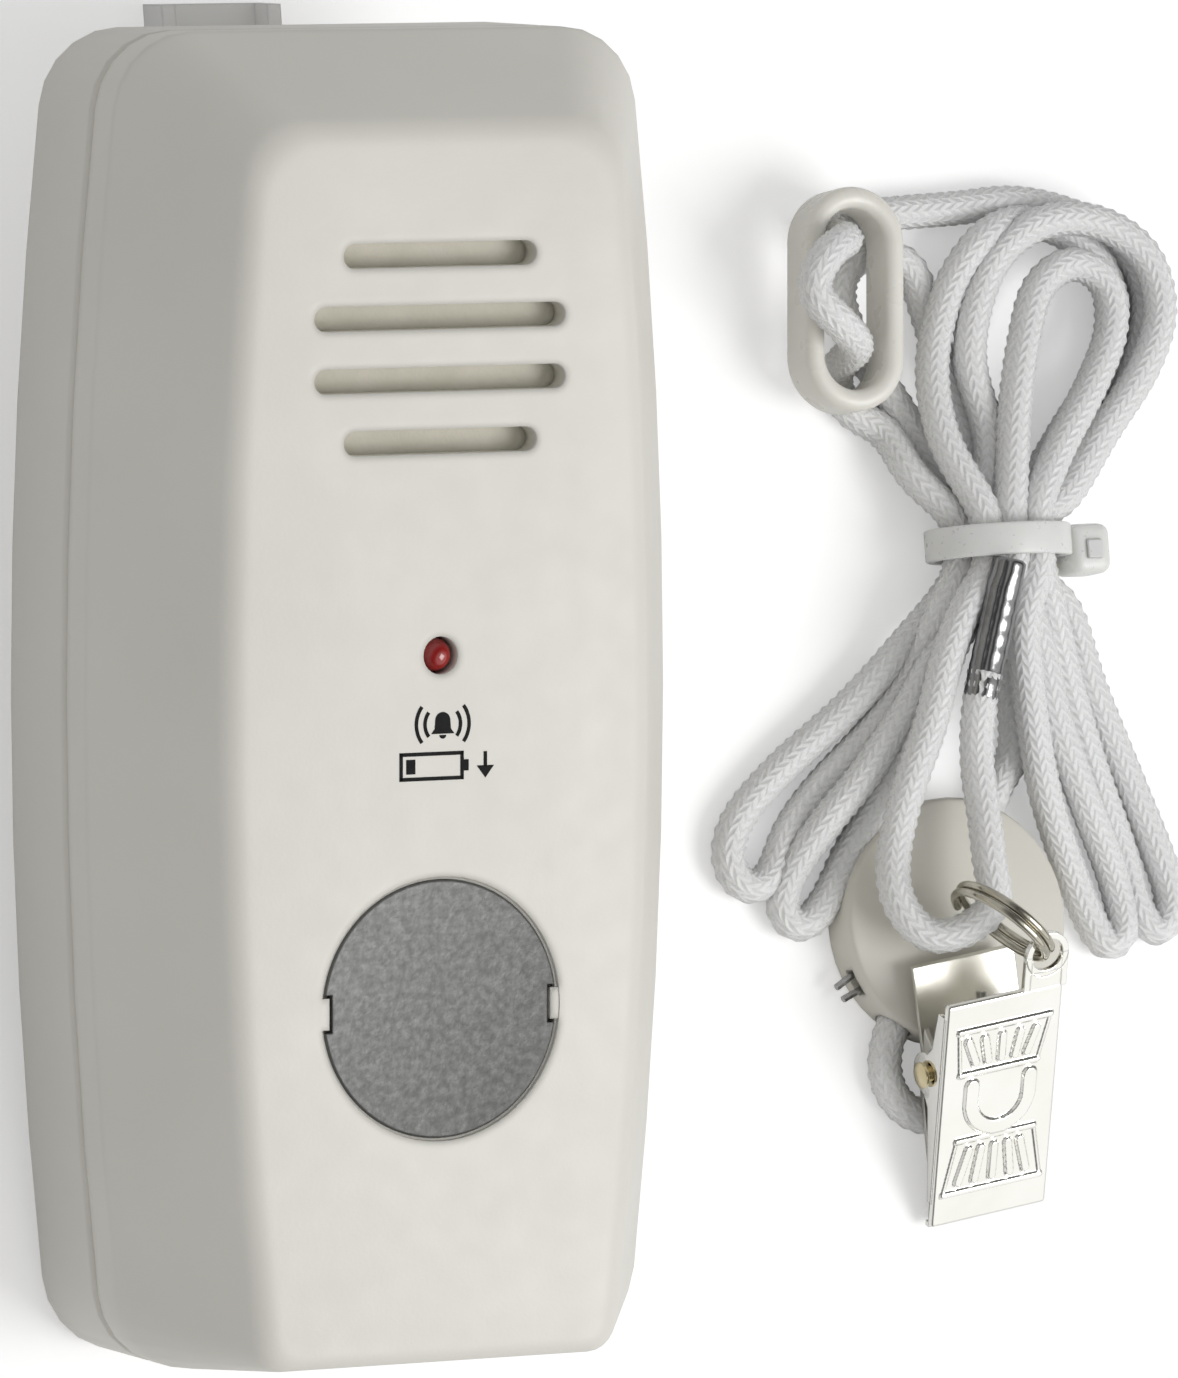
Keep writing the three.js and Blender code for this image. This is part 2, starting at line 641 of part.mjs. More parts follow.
function battery() {
  const shape = roundedRectangle(BATTERY_WIDTH, BATTERY_THICK, BATTERY_CORNER);
  const body = extruded(shape, 0, BATTERY_LENGTH, 5);
  const side = TERMINAL_SPACING / 2;
  const small = rod(SMALL_TERMINAL_RADIUS, BATTERY_LENGTH - 0.5, BATTERY_LENGTH + TERMINAL_HEIGHT, [side, 0], 20);
  const large = rod(LARGE_TERMINAL_RADIUS, BATTERY_LENGTH - 0.5, BATTERY_LENGTH + TERMINAL_HEIGHT, [-side, 0], 6);
  const socket = rod(SMALL_TERMINAL_RADIUS - 0.2, BATTERY_LENGTH + 0.4, BATTERY_LENGTH + 2 * TERMINAL_HEIGHT, [-side, 0], 16);
  const upright = joined([body, small, large]).subtract(socket);
  return upright.rotate([-90, 0, 0]).translate([0, batteryLowY, batteryMidZ]);
}

function batterySnap() {
  const z = [batteryMidZ - SNAP_HEIGHT / 2, batteryMidZ + SNAP_HEIGHT / 2];
  const body = block([-SNAP_WIDTH / 2, SNAP_WIDTH / 2], [snapLowY, snapHighY], z);
  const depth = TERMINAL_HEIGHT + GAP;
  const pocket = (radius, x) =>
    rod(radius + GAP, -CUT, depth, [0, 0], 20).rotate([-90, 0, 0]).translate([x, snapLowY, batteryMidZ]);
  const side = TERMINAL_SPACING / 2;
  return cutBy(body, [pocket(SMALL_TERMINAL_RADIUS, side), pocket(LARGE_TERMINAL_RADIUS, -side)]);
}

// A lead from the snap, through the bay's end wall, up to the back of the board.
function batteryLead(x) {
  const points = [
    [x, snapHighY + GAP, batteryMidZ],
    [x, bayHighY + BAY_WALL + 2, batteryMidZ],
    [x, bayHighY + BAY_WALL + 6, batteryMidZ + 3],
    [x, bayHighY + BAY_WALL + 7, boardBackZ - 4],
    [x, bayHighY + BAY_WALL + 7, boardBackZ - GAP],
  ];
  return tubeAlong(points, WIRE_RADIUS, { sides: 8, steps: 18 });
}

// A lead from the back of the sounder, round its retaining ring, to the back of the board.
function sounderLead(x) {
  const back = sounderFrontZ - SOUNDER_HEIGHT;
  const ringOuterY = GRILLE_Y - SOUNDER_RADIUS;
  const points = [
    [x, ringOuterY + 8, back - GAP - WIRE_RADIUS],
    [x, ringOuterY + 3, back - 2],
    [x, ringOuterY - 2, back - 1.6],
    [x, BOARD_TOP_Y - 2, boardBackZ - 3.5],
    [x, BOARD_TOP_Y - 3, boardBackZ - GAP],
  ];
  return tubeAlong(points, WIRE_RADIUS, { sides: 8, steps: 18 });
}

function rearOuter() {
  const rings = [];
  const edgeSteps = 4;
  for (let i = 0; i <= edgeSteps; i++) {
    const angle = ((Math.PI / 2) * i) / edgeSteps;
    const z = REAR_EDGE_RADIUS * (1 - Math.cos(angle));
    rings.push(housingRing(z, REAR_EDGE_RADIUS * (1 - Math.sin(angle))));
  }
  const rim = PARTING_Z - GAP / 2;
  rings.push(housingRing(rim - PARTING_CHAMFER, 0));
  rings.push(housingRing(rim, PARTING_CHAMFER));
  return loft(rings);
}

const straightWall = (inset, z0, z1) =>
  loft([housingRing(z0, inset, inset), housingRing(z1, inset, inset)]);

// The tongue that seats inside the front cover's wall.
function rearLip() {
  const rim = PARTING_Z - GAP / 2;
  const inner = WALL + GAP + LIP_WALL;
  const low = straightWall(WALL - 0.2, rim - 3, rim - 0.2);
  const high = straightWall(WALL + GAP, rim - 0.5, rim + LIP_RISE);
  return low.add(high).subtract(straightWall(inner, rim - 3 - CUT, rim + LIP_RISE + CUT));
}

const clipPivot = [CLIP_PIVOT_Y, -CLIP_PIVOT_DEPTH];
const clipHalf = CLIP_WIDTH / 2;
const lugOuter = clipHalf - CLIP_WALL - GAP;

// The two lugs on the back that carry the clip's pin.
function hingeLugs() {
  const [y, z] = clipPivot;
  const shape = new THREE.Shape();
  shape.moveTo(y - LUG_BASE / 2, WALL / 2);
  shape.lineTo(y - LUG_BASE / 2, 0);
  shape.lineTo(y - CLIP_EAR_RADIUS, z);
  shape.absarc(y, z, CLIP_EAR_RADIUS, Math.PI, 2 * Math.PI, false);
  shape.lineTo(y + LUG_BASE / 2, 0);
  shape.lineTo(y + LUG_BASE / 2, WALL / 2);
  const right = extrudedAcross(shape, lugOuter - LUG_WALL, lugOuter, 10);
  const left = extrudedAcross(shape, -lugOuter, -lugOuter + LUG_WALL, 10);
  const bore = rodAcross(CLIP_PIN_RADIUS + RUNNING, -clipHalf, clipHalf, y, z, 32);
  return right.add(left).subtract(bore);
}

const doorHalf = bayHalf - GAP;
const doorTopY = bayHighY - 0.5;
const hookTopZ = GAP + DOOR_THICK;
const hookSpots = Array.from({ length: DOOR_HOOKS }, (_, i) => {
  const step = (doorTopY - bayLowY - 2 * DOOR_HOOK_LENGTH) / DOOR_HOOKS;
  return bayLowY + DOOR_TRAVEL + 1 + i * step;
});

// The bay: a box open at the back, with rails beside the opening for the door's hooks.
function batteryBay() {
  const front = bayFrontZ + BAY_WALL;
  return block([-bayOuterHalf, bayOuterHalf], [bayLowY - BAY_WALL, bayHighY + BAY_WALL], [WALL / 2, front]);
}

function bayCutters() {
  const low = -HEIGHT / 2 - CUT;
  const bore = block([-bayHalf, bayHalf], [bayLowY, bayHighY], [-CUT, bayFrontZ]);
  const mouth = block([-bayHalf, bayHalf], [low, bayHighY], [-CUT, hookTopZ + GAP]);
  const railHalf = doorHalf + DOOR_HOOK + GAP;
  const groove = [hookTopZ - DOOR_HOOK_THICK - GAP, hookTopZ + GAP];
  const grooves = block([-railHalf, railHalf], [low, bayHighY], groove);
  const lifts = hookSpots.map((y) => {
    const from = y - DOOR_TRAVEL - GAP;
    return block([-railHalf, railHalf], [from, from + DOOR_HOOK_LENGTH + 2 * GAP], [-CUT, groove[1]]);
  });
  const wireHole = block(
    [-LEAD_SPREAD - 2, LEAD_SPREAD + 2],
    [bayHighY - CUT, bayHighY + BAY_WALL + CUT],
    [batteryMidZ - 1.5, batteryMidZ + 1.5],
  );
  return [bore, mouth, grooves, ...lifts, wireHole];
}

function rearCover() {
  const outer = rearOuter();
  const cavity = straightWall(WALL, WALL, PARTING_Z + CUT);
  const rim = PARTING_Z - GAP / 2;
  const posts = casePosts.map((at) => rod(REAR_POST_RADIUS, WALL / 2, rim, at));
  const body = joined([outer.subtract(cavity), rearLip(), ...posts, batteryBay(), hingeLugs()]);
  const screwHoles = casePosts.flatMap((at) => [
    rod(CASE_SCREW_HEAD_RADIUS + GAP, -CUT, CASE_SCREW_SUNK + CASE_SCREW_HEAD + GAP, at, 24),
    rod(CASE_SCREW_RADIUS + GAP, 0, rim + CUT, at, 16),
  ]);
  return cutBy(body, [...screwHoles, ...bayCutters()]);
}

function batteryDoor() {
  const rings = [GAP, REAR_EDGE_RADIUS / 2, REAR_EDGE_RADIUS].map((z) => {
    const rise = Math.acos(1 - z / REAR_EDGE_RADIUS);
    return housingRing(z, REAR_EDGE_RADIUS * (1 - Math.sin(rise)) + 0.05);
  });
  const skin = loft(rings);
  const plate = skin.intersect(block([-doorHalf, doorHalf], [-HEIGHT, doorTopY], [0, GAP + DOOR_THICK]));
  const hooks = hookSpots.map((y) => {
    const reach = doorHalf + DOOR_HOOK;
    return block([-reach, reach], [y, y + DOOR_HOOK_LENGTH], [hookTopZ - DOOR_HOOK_THICK, hookTopZ - 0.02]);
  });
  const grips = Array.from({ length: GRIP_LINES }, (_, i) => {
    const y = doorTopY - 6 - i * GRIP_PITCH;
    return block([-7, 7], [y - 0.4, y + 0.4], [0, GAP + 0.6]);
  });
  return cutBy(joined([plate, ...hooks]), grips);
}

// A pan-head screw pointing along +Z, with a cross recess in its head.
function screw(at, headZ, headRadius, headHeight, shankRadius, length) {
  const top = headZ + headHeight;
  const profile = [
    [0, headZ],
    [headRadius * 0.8, headZ],
    [headRadius, headZ + headHeight * 0.4],
    [headRadius, top],
    [shankRadius, top],
    [shankRadius, top + length - shankRadius],
    [0, top + length],
  ];
  const arm = headRadius * 0.55;
  const thick = headRadius * 0.15;
  const z = [headZ - CUT, headZ + headHeight * 0.6];
  const x = at[0];
  const y = at[1];
  return cutBy(turned(profile, at, 20), [
    block([x - arm, x + arm], [y - thick, y + thick], z),
    block([x - thick, x + thick], [y - arm, y + arm], z),
  ]);
}

const floorSlope = Math.tan(REST_TILT);
const clipOuterZ = (y) => -CLIP_STAND_OFF + (CLIP_TOP_Y - y) * floorSlope;

// The clip's web: a flat thumb pad, a bend, and an arm that runs down to the toe.
function clipWeb() {
  const toeZ = -GAP;
  const points = [
    [CLIP_TOP_Y, clipOuterZ(CLIP_TOP_Y)],
    [CLIP_TOP_Y, clipOuterZ(CLIP_TOP_Y) + CLIP_WALL],
    [CLIP_BEND_Y, clipOuterZ(CLIP_BEND_Y) + CLIP_WALL],
    [CLIP_TOE_Y + 1, toeZ],
    [CLIP_TOE_Y - 1, toeZ],
    [CLIP_TOE_Y - CLIP_TIP_LENGTH, toeZ - CLIP_TIP_FLARE],
    [CLIP_TOE_Y - CLIP_TIP_LENGTH, toeZ - CLIP_TIP_FLARE - CLIP_WALL],
    [CLIP_TOE_Y, toeZ - CLIP_WALL - 0.5],
    [CLIP_BEND_Y - 1, clipOuterZ(CLIP_BEND_Y - 1)],
  ];
  return extrudedAcross(shapeOf(points), -clipHalf, clipHalf);
}

// A side flange: shallow along the pad, swelling into a round ear at the pin, and fading along the arm.
function clipFlange(x0, x1) {
  const [y, z] = clipPivot;
  const inside = (at) => clipOuterZ(at) + CLIP_WALL / 2;
  const shape = new THREE.Shape();
  shape.moveTo(CLIP_TOP_Y, inside(CLIP_TOP_Y));
  shape.lineTo(CLIP_TOP_Y, clipOuterZ(CLIP_TOP_Y) + CLIP_FLANGE);
  shape.lineTo(y + CLIP_EAR_RADIUS + 4, clipOuterZ(y + 6) + CLIP_FLANGE);
  shape.lineTo(y + CLIP_EAR_RADIUS, z);
  shape.absarc(y, z, CLIP_EAR_RADIUS, 0, Math.PI, false);
  shape.lineTo(y - CLIP_EAR_RADIUS - 3, z - 1.5);
  shape.lineTo(CLIP_BEND_Y - 14, clipOuterZ(CLIP_BEND_Y) + 14 * 0.345 + 0.6);
  shape.lineTo(CLIP_BEND_Y, inside(CLIP_BEND_Y));
  return extrudedAcross(shape, x0, x1, 10);
}

function beltClip() {
  const inner = clipHalf - CLIP_WALL;
  const body = joined([clipWeb(), clipFlange(inner, clipHalf), clipFlange(-clipHalf, -inner)]);
  const [y, z] = clipPivot;
  return body.subtract(rodAcross(CLIP_PIN_RADIUS + RUNNING, -clipHalf - CUT, clipHalf + CUT, y, z, 32));
}

function beltClipPin() {
  const end = clipHalf + GAP;
  const profile = [
    [0, -end - CLIP_PIN_HEAD],
    [CLIP_PIN_HEAD_RADIUS, -end - CLIP_PIN_HEAD],
    [CLIP_PIN_HEAD_RADIUS, -end],
    [CLIP_PIN_RADIUS, -end],
    [CLIP_PIN_RADIUS, end],
    [CLIP_PIN_HEAD_RADIUS, end],
    [CLIP_PIN_HEAD_RADIUS, end + CLIP_PIN_HEAD],
    [0, end + CLIP_PIN_HEAD],
  ];
  return turnedAcross(profile, clipPivot[0], clipPivot[1], 32);
}

// A torsion spring round a pin along X: a coil and two legs that start on opposite sides of it.
function torsionSpring({ wire, radius, turns, legs, y, z }) {
  const pitch = 2 * wire + 0.12;
  const perTurn = 8;
  const total = Math.round((turns + 0.5) * perTurn);
  const width = (turns + 0.5) * pitch;
  const coil = Array.from({ length: total + 1 }, (_, i) => {
    const angle = Math.PI / 2 + (2 * Math.PI * i) / perTurn;
    return [(pitch * i) / perTurn - width / 2, y + radius * Math.cos(angle), z + radius * Math.sin(angle)];
  });
  const first = [-width / 2, legs[0][0], legs[0][1]];
  const last = [width / 2, legs[1][0], legs[1][1]];
  const middle = (a, b) => [a[0], (a[1] + b[1]) / 2, (a[2] + b[2]) / 2];
  const points = [first, middle(first, coil[0]), ...coil, middle(coil[total], last), last];
  return tubeAlong(points, wire, { sides: 6, steps: total + 16 });
}

function beltClipSpring() {
  const [y, z] = clipPivot;
  const legY = y + CLIP_SPRING_LEG;
  return torsionSpring({
    wire: CLIP_SPRING_WIRE,
    radius: CLIP_SPRING_RADIUS,
    turns: CLIP_SPRING_TURNS,
    legs: [
      [legY, -CLIP_SPRING_WIRE - GAP],
      [legY, clipOuterZ(legY) + CLIP_WALL + CLIP_SPRING_WIRE + GAP],
    ],
    y,
    z,
  });
}

function buildAlarm() {
  const alarm = new THREE.Group();
  addPiece(alarm, "front_cover", frontCover(), CREAM);
  addPiece(alarm, "rear_cover", rearCover(), REAR_GREY);
  addPiece(alarm, "keeper_plate", keeperPlate(), STEEL);
  addPiece(alarm, "indicator_led", led(), RED_LENS);
  addPiece(alarm, "dust_screen", dustScreen(), FELT);
  addPiece(alarm, "sounder", sounder(), BLACK_PLASTIC);
  addPiece(alarm, "sounder_lead_red", sounderLead(-2 * LEAD_SPREAD), WIRE_RED);
  addPiece(alarm, "sounder_lead_black", sounderLead(-LEAD_SPREAD), WIRE_BLACK);
  addPiece(alarm, "circuit_board", circuitBoard(), BOARD_GREEN);
  addPiece(alarm, "alarm_chip", alarmChip(), BLACK_PLASTIC);
  addPiece(alarm, "reed_switch", reedSwitch(), MAGNET_GREY);
  addPiece(alarm, "capacitor", capacitor(), BLACK_PLASTIC);
  addPiece(alarm, "battery", battery(), BATTERY_CASE);
  addPiece(alarm, "battery_snap", batterySnap(), BLACK_PLASTIC);
  addPiece(alarm, "battery_lead_red", batteryLead(LEAD_SPREAD), WIRE_RED);
  addPiece(alarm, "battery_lead_black", batteryLead(0), WIRE_BLACK);
  addPiece(alarm, "battery_door", batteryDoor(), REAR_GREY);
  casePosts.forEach((at, i) => {
    const body = screw(at, CASE_SCREW_SUNK, CASE_SCREW_HEAD_RADIUS, CASE_SCREW_HEAD, CASE_SCREW_RADIUS,
      CASE_SCREW_LENGTH);
    addPiece(alarm, `case_screw_${i + 1}`, body, STEEL);
  });
  boardScrews.forEach((at, i) => {
    const headZ = boardBackZ - GAP - BOARD_SCREW_HEAD;
    const body = screw(at, headZ, BOARD_SCREW_HEAD_RADIUS, BOARD_SCREW_HEAD, BOARD_SCREW_RADIUS,
      BOARD_SCREW_LENGTH);
    addPiece(alarm, `board_screw_${i + 1}`, body, STEEL);
  });
  addPiece(alarm, "belt_clip", beltClip(), CLIP_GREY);
  addPiece(alarm, "belt_clip_pin", beltClipPin(), STEEL);
  addPiece(alarm, "belt_clip_spring", beltClipSpring(), STEEL);
  alarm.rotation.x = REST_TILT;
  const box = new THREE.Box3().setFromObject(alarm, true);
  alarm.position.set(0, -(box.min.y + box.max.y) / 2, -box.min.z);
  return alarm;
}

// The tied hank, seen from above. Each half is a flat fan of strands that meets the other in the tie.
const UPPER_FAN = [
  [5.4, 1.9], [8.7, 4.4], [13.2, 9.6], [18.3, 15.6], [21.2, 21.5], [19.9, 27.8], [15.6, 31.4], [10, 33],
  [5.5, 33.7], [0.5, 32.6], [-5, 31.3], [-10, 32.3], [-14.5, 31.8], [-17.4, 28.6], [-18.3, 23.4],
  [-17.2, 18], [-14, 14.2], [-10.4, 11.6], [-8, 7.4], [-5.6, 2.4],
];
const UPPER_GAP = [
  [6.8, 13.1], [7.4, 19.1], [7.8, 23.7], [10.7, 24.8], [12.8, 23.1], [12.9, 20.5], [10.6, 15.7], [7.9, 12],
];
const LOWER_FAN = [
  [-5.6, -1.9], [-8.4, -4.4], [-12.4, -8.6], [-17.8, -13.4], [-25.4, -19.2], [-30.4, -23.8], [-31.8, -28.4],
  [-29.8, -32.4], [-26.4, -35.4], [-22.6, -36.2], [-20, -34], [-19, -29.5], [-16.6, -25], [-12.4, -21.4],
  [-7, -19.4], [-1.6, -19.6], [2.6, -22.4], [5.6, -26.6], [6.9, -32], [7.7, -37.4], [10.4, -39.8],
  [14.8, -38.9], [17.4, -35.6], [16.4, -30.6], [13, -22], [9.8, -13.4], [6.5, -6.2], [5.1, -1.9],
];
const FRONT_LOOP = [
  [-5.4, -2.2, 0], [-7.4, -10.1, 0], [-10, -17, 0], [-12.6, -22.6, -0.2], [-14.6, -28.7, -0.4],
  [-14.9, -33, 0.2], [-12.3, -36.6, 1.2], [-8.2, -35.8, 2.4], [-5.9, -33.6, 2.8], [-6.2, -30.8, 2.6],
  [-5.9, -26.4, 1.7], [-5.6, -20.6, 0.6], [-5.2, -15.3, 0],
];
const SLIDER_LOOP = [
  [0.2, 6.4, -4.6], [-0.4, 6, 0.8], [-4, 4.2, 2.9], [-6.6, 0.6, 2.9], [-4.6, -2.8, 2.9], [-0.4, -5, 0.8],
  [0.2, -5.6, -4.6],
];

const fanFloor = GAP;
const fanTop = fanFloor + HANK_FAN;
const tieMiddle = TIE_WALL + GAP + HANK_THICK / 2;
const sliderFloor = fanFloor + STRAND_UNDER_SLIDER + GAP;
const topStrandZ = fanTop + GAP + CORD_RADIUS;

// The strands drawn together inside the tie, as a short oval length along Y.
function hankWaist(y0, y1) {
  const length = rod(1, -y1, -y0, [0, 0], 20).rotate([90, 0, 0]);
  return length.scale([HANK_WAIST / 2, 1, HANK_THICK / 2]).translate([0, 0, tieMiddle]);
}

const tieSide = TIE_WIDTH / 2 + GAP;

function hankUpper() {
  const shape = smoothShape(UPPER_FAN, 52);
  const low = extruded(shape, fanFloor, fanFloor + STRAND_UNDER_SLIDER);
  const sliderSide = SLIDER_AT[0] + SLIDER_WIDTH / 2 + CORD_RADIUS;
  const right = block([sliderSide, 100], [0, 100], [0, fanTop + CUT]);
  const high = extruded(shape, fanFloor, fanTop).intersect(right);
  const opening = extruded(smoothShape(UPPER_GAP, 18), -CUT, fanTop + CUT);
  const tie = block([-50, 50], [-50, tieSide], [-CUT, fanTop + CUT]);
  return cutBy(low.add(high), [opening, tie]).add(hankWaist(GAP / 2, tieSide + 0.8));
}

function hankLower() {
  const fan = extruded(smoothShape(LOWER_FAN, 68), fanFloor, fanTop);
  const tie = block([-50, 50], [-tieSide, 50], [-CUT, fanTop + CUT]);
  const waist = hankWaist(-tieSide - 0.8, -GAP / 2);
  const underLoop = block([-50, 50], [-50, -tieSide], [fanTop, fanTop + HANK_THICK]);
  return fan.subtract(tie).add(waist.subtract(underLoop));
}

function frontLoop() {
  const points = FRONT_LOOP.map(([x, y, z]) => [x, y, z + topStrandZ]);
  return tubeAlong(points, CORD_RADIUS, { sides: 8, steps: 44 });
}

function sliderLoop() {
  const points = SLIDER_LOOP.map(([x, y, z]) => [SLIDER_AT[0] + x, SLIDER_AT[1] + y, z + sliderFloor + SLIDER_DEPTH]);
  points[0][2] = sliderFloor;
  points[points.length - 1][2] = sliderFloor;
  return tubeAlong(points, CORD_RADIUS, { sides: 8, steps: 28 });
}

function cordSlider() {
  const outer = stadium(SLIDER_LENGTH - 2 * SLIDER_EDGE, SLIDER_WIDTH - 2 * SLIDER_EDGE);
  const options = {
    depth: SLIDER_DEPTH - 2 * SLIDER_EDGE,
    bevelThickness: SLIDER_EDGE,
    bevelSize: SLIDER_EDGE,
    bevelSegments: 2,
    curveSegments: 8,
  };
  const body = solid(new THREE.ExtrudeGeometry(outer, options).translate(0, 0, SLIDER_EDGE));
  const inner = stadium(SLIDER_LENGTH - 2 * SLIDER_RIM, SLIDER_WIDTH - 2 * SLIDER_RIM);
  const ring = body.subtract(extruded(inner, -CUT, SLIDER_DEPTH + CUT, 8));
  return ring.rotate([0, 0, 90 + SLIDER_TURN]).translate([SLIDER_AT[0], SLIDER_AT[1], sliderFloor]);
}

function cableTie() {
  const half = TIE_WIDTH / 2;
  const oval = (grow) => {
    const length = rod(1, -half, half, [0, 0], 28).rotate([90, 0, 0]);
    return length.scale([HANK_WAIST / 2 + grow, 1, HANK_THICK / 2 + grow]).translate([0, 0, tieMiddle]);
  };
  const [width, height, depth] = TIE_HEAD;
  const start = HANK_WAIST / 2 + GAP + TIE_WALL / 2;
  const head = block(
    [start, start + width],
    [half - height, half],
    [tieMiddle - depth / 2, tieMiddle + depth / 2],
  );
  const inside = oval(GAP).scale([1, 3, 1]);
  const slot = block([start + 1.2, start + 2.8], [half - height + 0.9, half - height + 1.6], [tieMiddle, 100]);
  return cutBy(oval(GAP + TIE_WALL).add(head), [inside, slot]);
}

// The crimped metal tip: a rod with round edges and a seam along its top.
function cordTip() {
  const run = [TIP_END[0] - TIP_TOP[0], TIP_END[1] - TIP_TOP[1]];
  const length = Math.hypot(run[0], run[1]);
  const profile = [
    [0, 0],
    [TIP_RADIUS - TIP_EDGE, 0],
    [TIP_RADIUS, TIP_EDGE],
    [TIP_RADIUS, length - TIP_EDGE],
    [TIP_RADIUS - TIP_EDGE, length],
    [0, length],
  ];
  const seam = block([-0.15, 0.15], [TIP_RADIUS - 0.4, TIP_RADIUS + CUT], [1, length - 1]);
  const upright = turned(profile, [0, 0], 20).subtract(seam);
  const heading = THREE.MathUtils.radToDeg(Math.atan2(run[1], run[0]));
  const z = fanTop + GAP + TIP_RADIUS;
  return upright.rotate([0, 90, 0]).rotate([90, 0, heading]).translate([TIP_TOP[0], TIP_TOP[1], z]);
}

const holderPocket = MAGNET_THICK + GAP;
const fromHolder = (degreesRound, radius) => {
  const angle = degrees(degreesRound);
  return [HOLDER_AT[0] + radius * Math.cos(angle), HOLDER_AT[1] + radius * Math.sin(angle)];
};
const holderCordZ = CORD_RADIUS + 2 * GAP;
const stapleZ = HOLDER_HEIGHT / 2;

// A block that points outwards from the holder's middle.
function radialBlock(angle, radii, halfWidth, z) {
  return block(radii, [-halfWidth, halfWidth], z).rotate([0, 0, angle]).translate([HOLDER_AT[0], HOLDER_AT[1], 0]);
}

function magnetHolder() {
  const r = HOLDER_RADIUS;
  const edge = HOLDER_EDGE;
  const body = turned([
    [0, 0],
    [r - edge / 2, 0],
    [r, edge / 2],
    [r, HOLDER_HEIGHT - edge],
    [r - edge * 0.3, HOLDER_HEIGHT - edge * 0.3],
    [r - edge, HOLDER_HEIGHT],
    [0, HOLDER_HEIGHT],
  ], HOLDER_AT, 44);
  const pocket = rod(MAGNET_RADIUS + GAP, -CUT, holderPocket, HOLDER_AT, 40);
  const bore = rod(CORD_RADIUS + GAP, r - HOLDER_CORD_DEPTH, r + CUT, [0, 0], 16).rotate([0, 90, 0]);
  const socket = bore.rotate([0, 0, HOLDER_CORD_ANGLE]).translate([HOLDER_AT[0], HOLDER_AT[1], holderCordZ]);
  const halfWidth = STAPLE_SPREAD / 2 + STAPLE_WIRE + GAP;
  const z = [stapleZ - STAPLE_WIRE - GAP, stapleZ + STAPLE_WIRE + GAP];
  const slot = radialBlock(STAPLE_ANGLE, [r - STAPLE_DEPTH, r + CUT], halfWidth, z);
  return cutBy(body, [pocket, socket, slot]);
}

function magnet() {
  return rod(MAGNET_RADIUS, GAP, holderPocket - GAP / 2, HOLDER_AT, 40);
}

// The bent wire whose two ends stick out of the holder's side.
function wireStaple() {
  const inner = HOLDER_RADIUS - STAPLE_DEPTH + GAP + STAPLE_WIRE;
  const outer = HOLDER_RADIUS + STAPLE_PROUD;
  const half = STAPLE_SPREAD / 2;
  const points = [[outer, -half, 0], [inner + 0.4, -half, 0], [inner, 0, 0], [inner + 0.4, half, 0], [outer, half, 0]];
  const staple = tubeAlong(points, STAPLE_WIRE, { sides: 6, steps: 16 });
  return staple.rotate([0, 0, STAPLE_ANGLE]).translate([HOLDER_AT[0], HOLDER_AT[1], stapleZ]);
}

// The cord's fixed end: out of the holder's side and curled under the cloth clip's ear.
function cordTail() {
  const [x, y] = fromHolder(HOLDER_CORD_ANGLE, HOLDER_RADIUS - HOLDER_CORD_DEPTH + GAP);
  const [x1, y1] = fromHolder(HOLDER_CORD_ANGLE, HOLDER_RADIUS + 2);
  return tubeAlong([
    [x, y, holderCordZ],
    [x1, y1, holderCordZ],
    [x1 - 0.4, y1 - 3, CORD_RADIUS + GAP],
    [x1 + 0.4, y1 - 5.4, CORD_RADIUS + GAP],
  ], CORD_RADIUS, { sides: 8, steps: 12 });
}

const clothHalf = CLOTH_WIDTH / 2;
const clothPin = [CLOTH_PIN_FROM_TIP, -CLOTH_PIN_DEPTH];
const clothRotation = new THREE.Matrix4().makeRotationZ(degrees(CLOTH_TURN))
  .multiply(new THREE.Matrix4().makeRotationX(degrees(CLOTH_PITCH)));
const clothPoint = (x, y, z) =>
  new THREE.Vector3(x, y, z).applyMatrix4(clothRotation).add(new THREE.Vector3(...CLOTH_TIP_AT));

// From the cloth clip's own frame to the cord group's.
function placeCloth(body) {
  return body.rotate([CLOTH_PITCH, 0, CLOTH_TURN]).translate(CLOTH_TIP_AT);
}

// Two framed panels of slanted ribs and a U between them, stamped proud of the front.
function clothStamping() {
  const z = [-CLOTH_SHEET / 2, CLOTH_EMBOSS];
  const bars = [];
  for (const [low, high, slant] of [[3.4, 8, 0.5], [15.6, 20.2, -0.5]]) {
    bars.push(block([-4.6, 4.6], [low, low + 0.45], z));
    bars.push(block([-4.6, 4.6], [high - 0.45, high], z));
    for (const x of [-3.4, -1.7, 0, 1.7, 3.4]) {
      bars.push(extruded(shapeOf([
        [x - slant - 0.3, low + 1],
        [x - slant + 0.3, low + 1],
        [x + slant + 0.3, high - 1],
        [x + slant - 0.3, high - 1],
      ]), z[0], z[1]));
    }
  }
  const u = circle(2.9, 0, 11.6);
  u.holes.push(circle(1.9, 0, 11.6));
  const arc = extruded(u, z[0], z[1], 14).subtract(block([-4, 4], [11.6, 20], [-CUT, CUT]));
  const arms = [-2.4, 2.4].map((x) => block([x - 0.5, x + 0.5], [11.5, 13.6], z));
  return joined([...bars, arc, ...arms]);
}

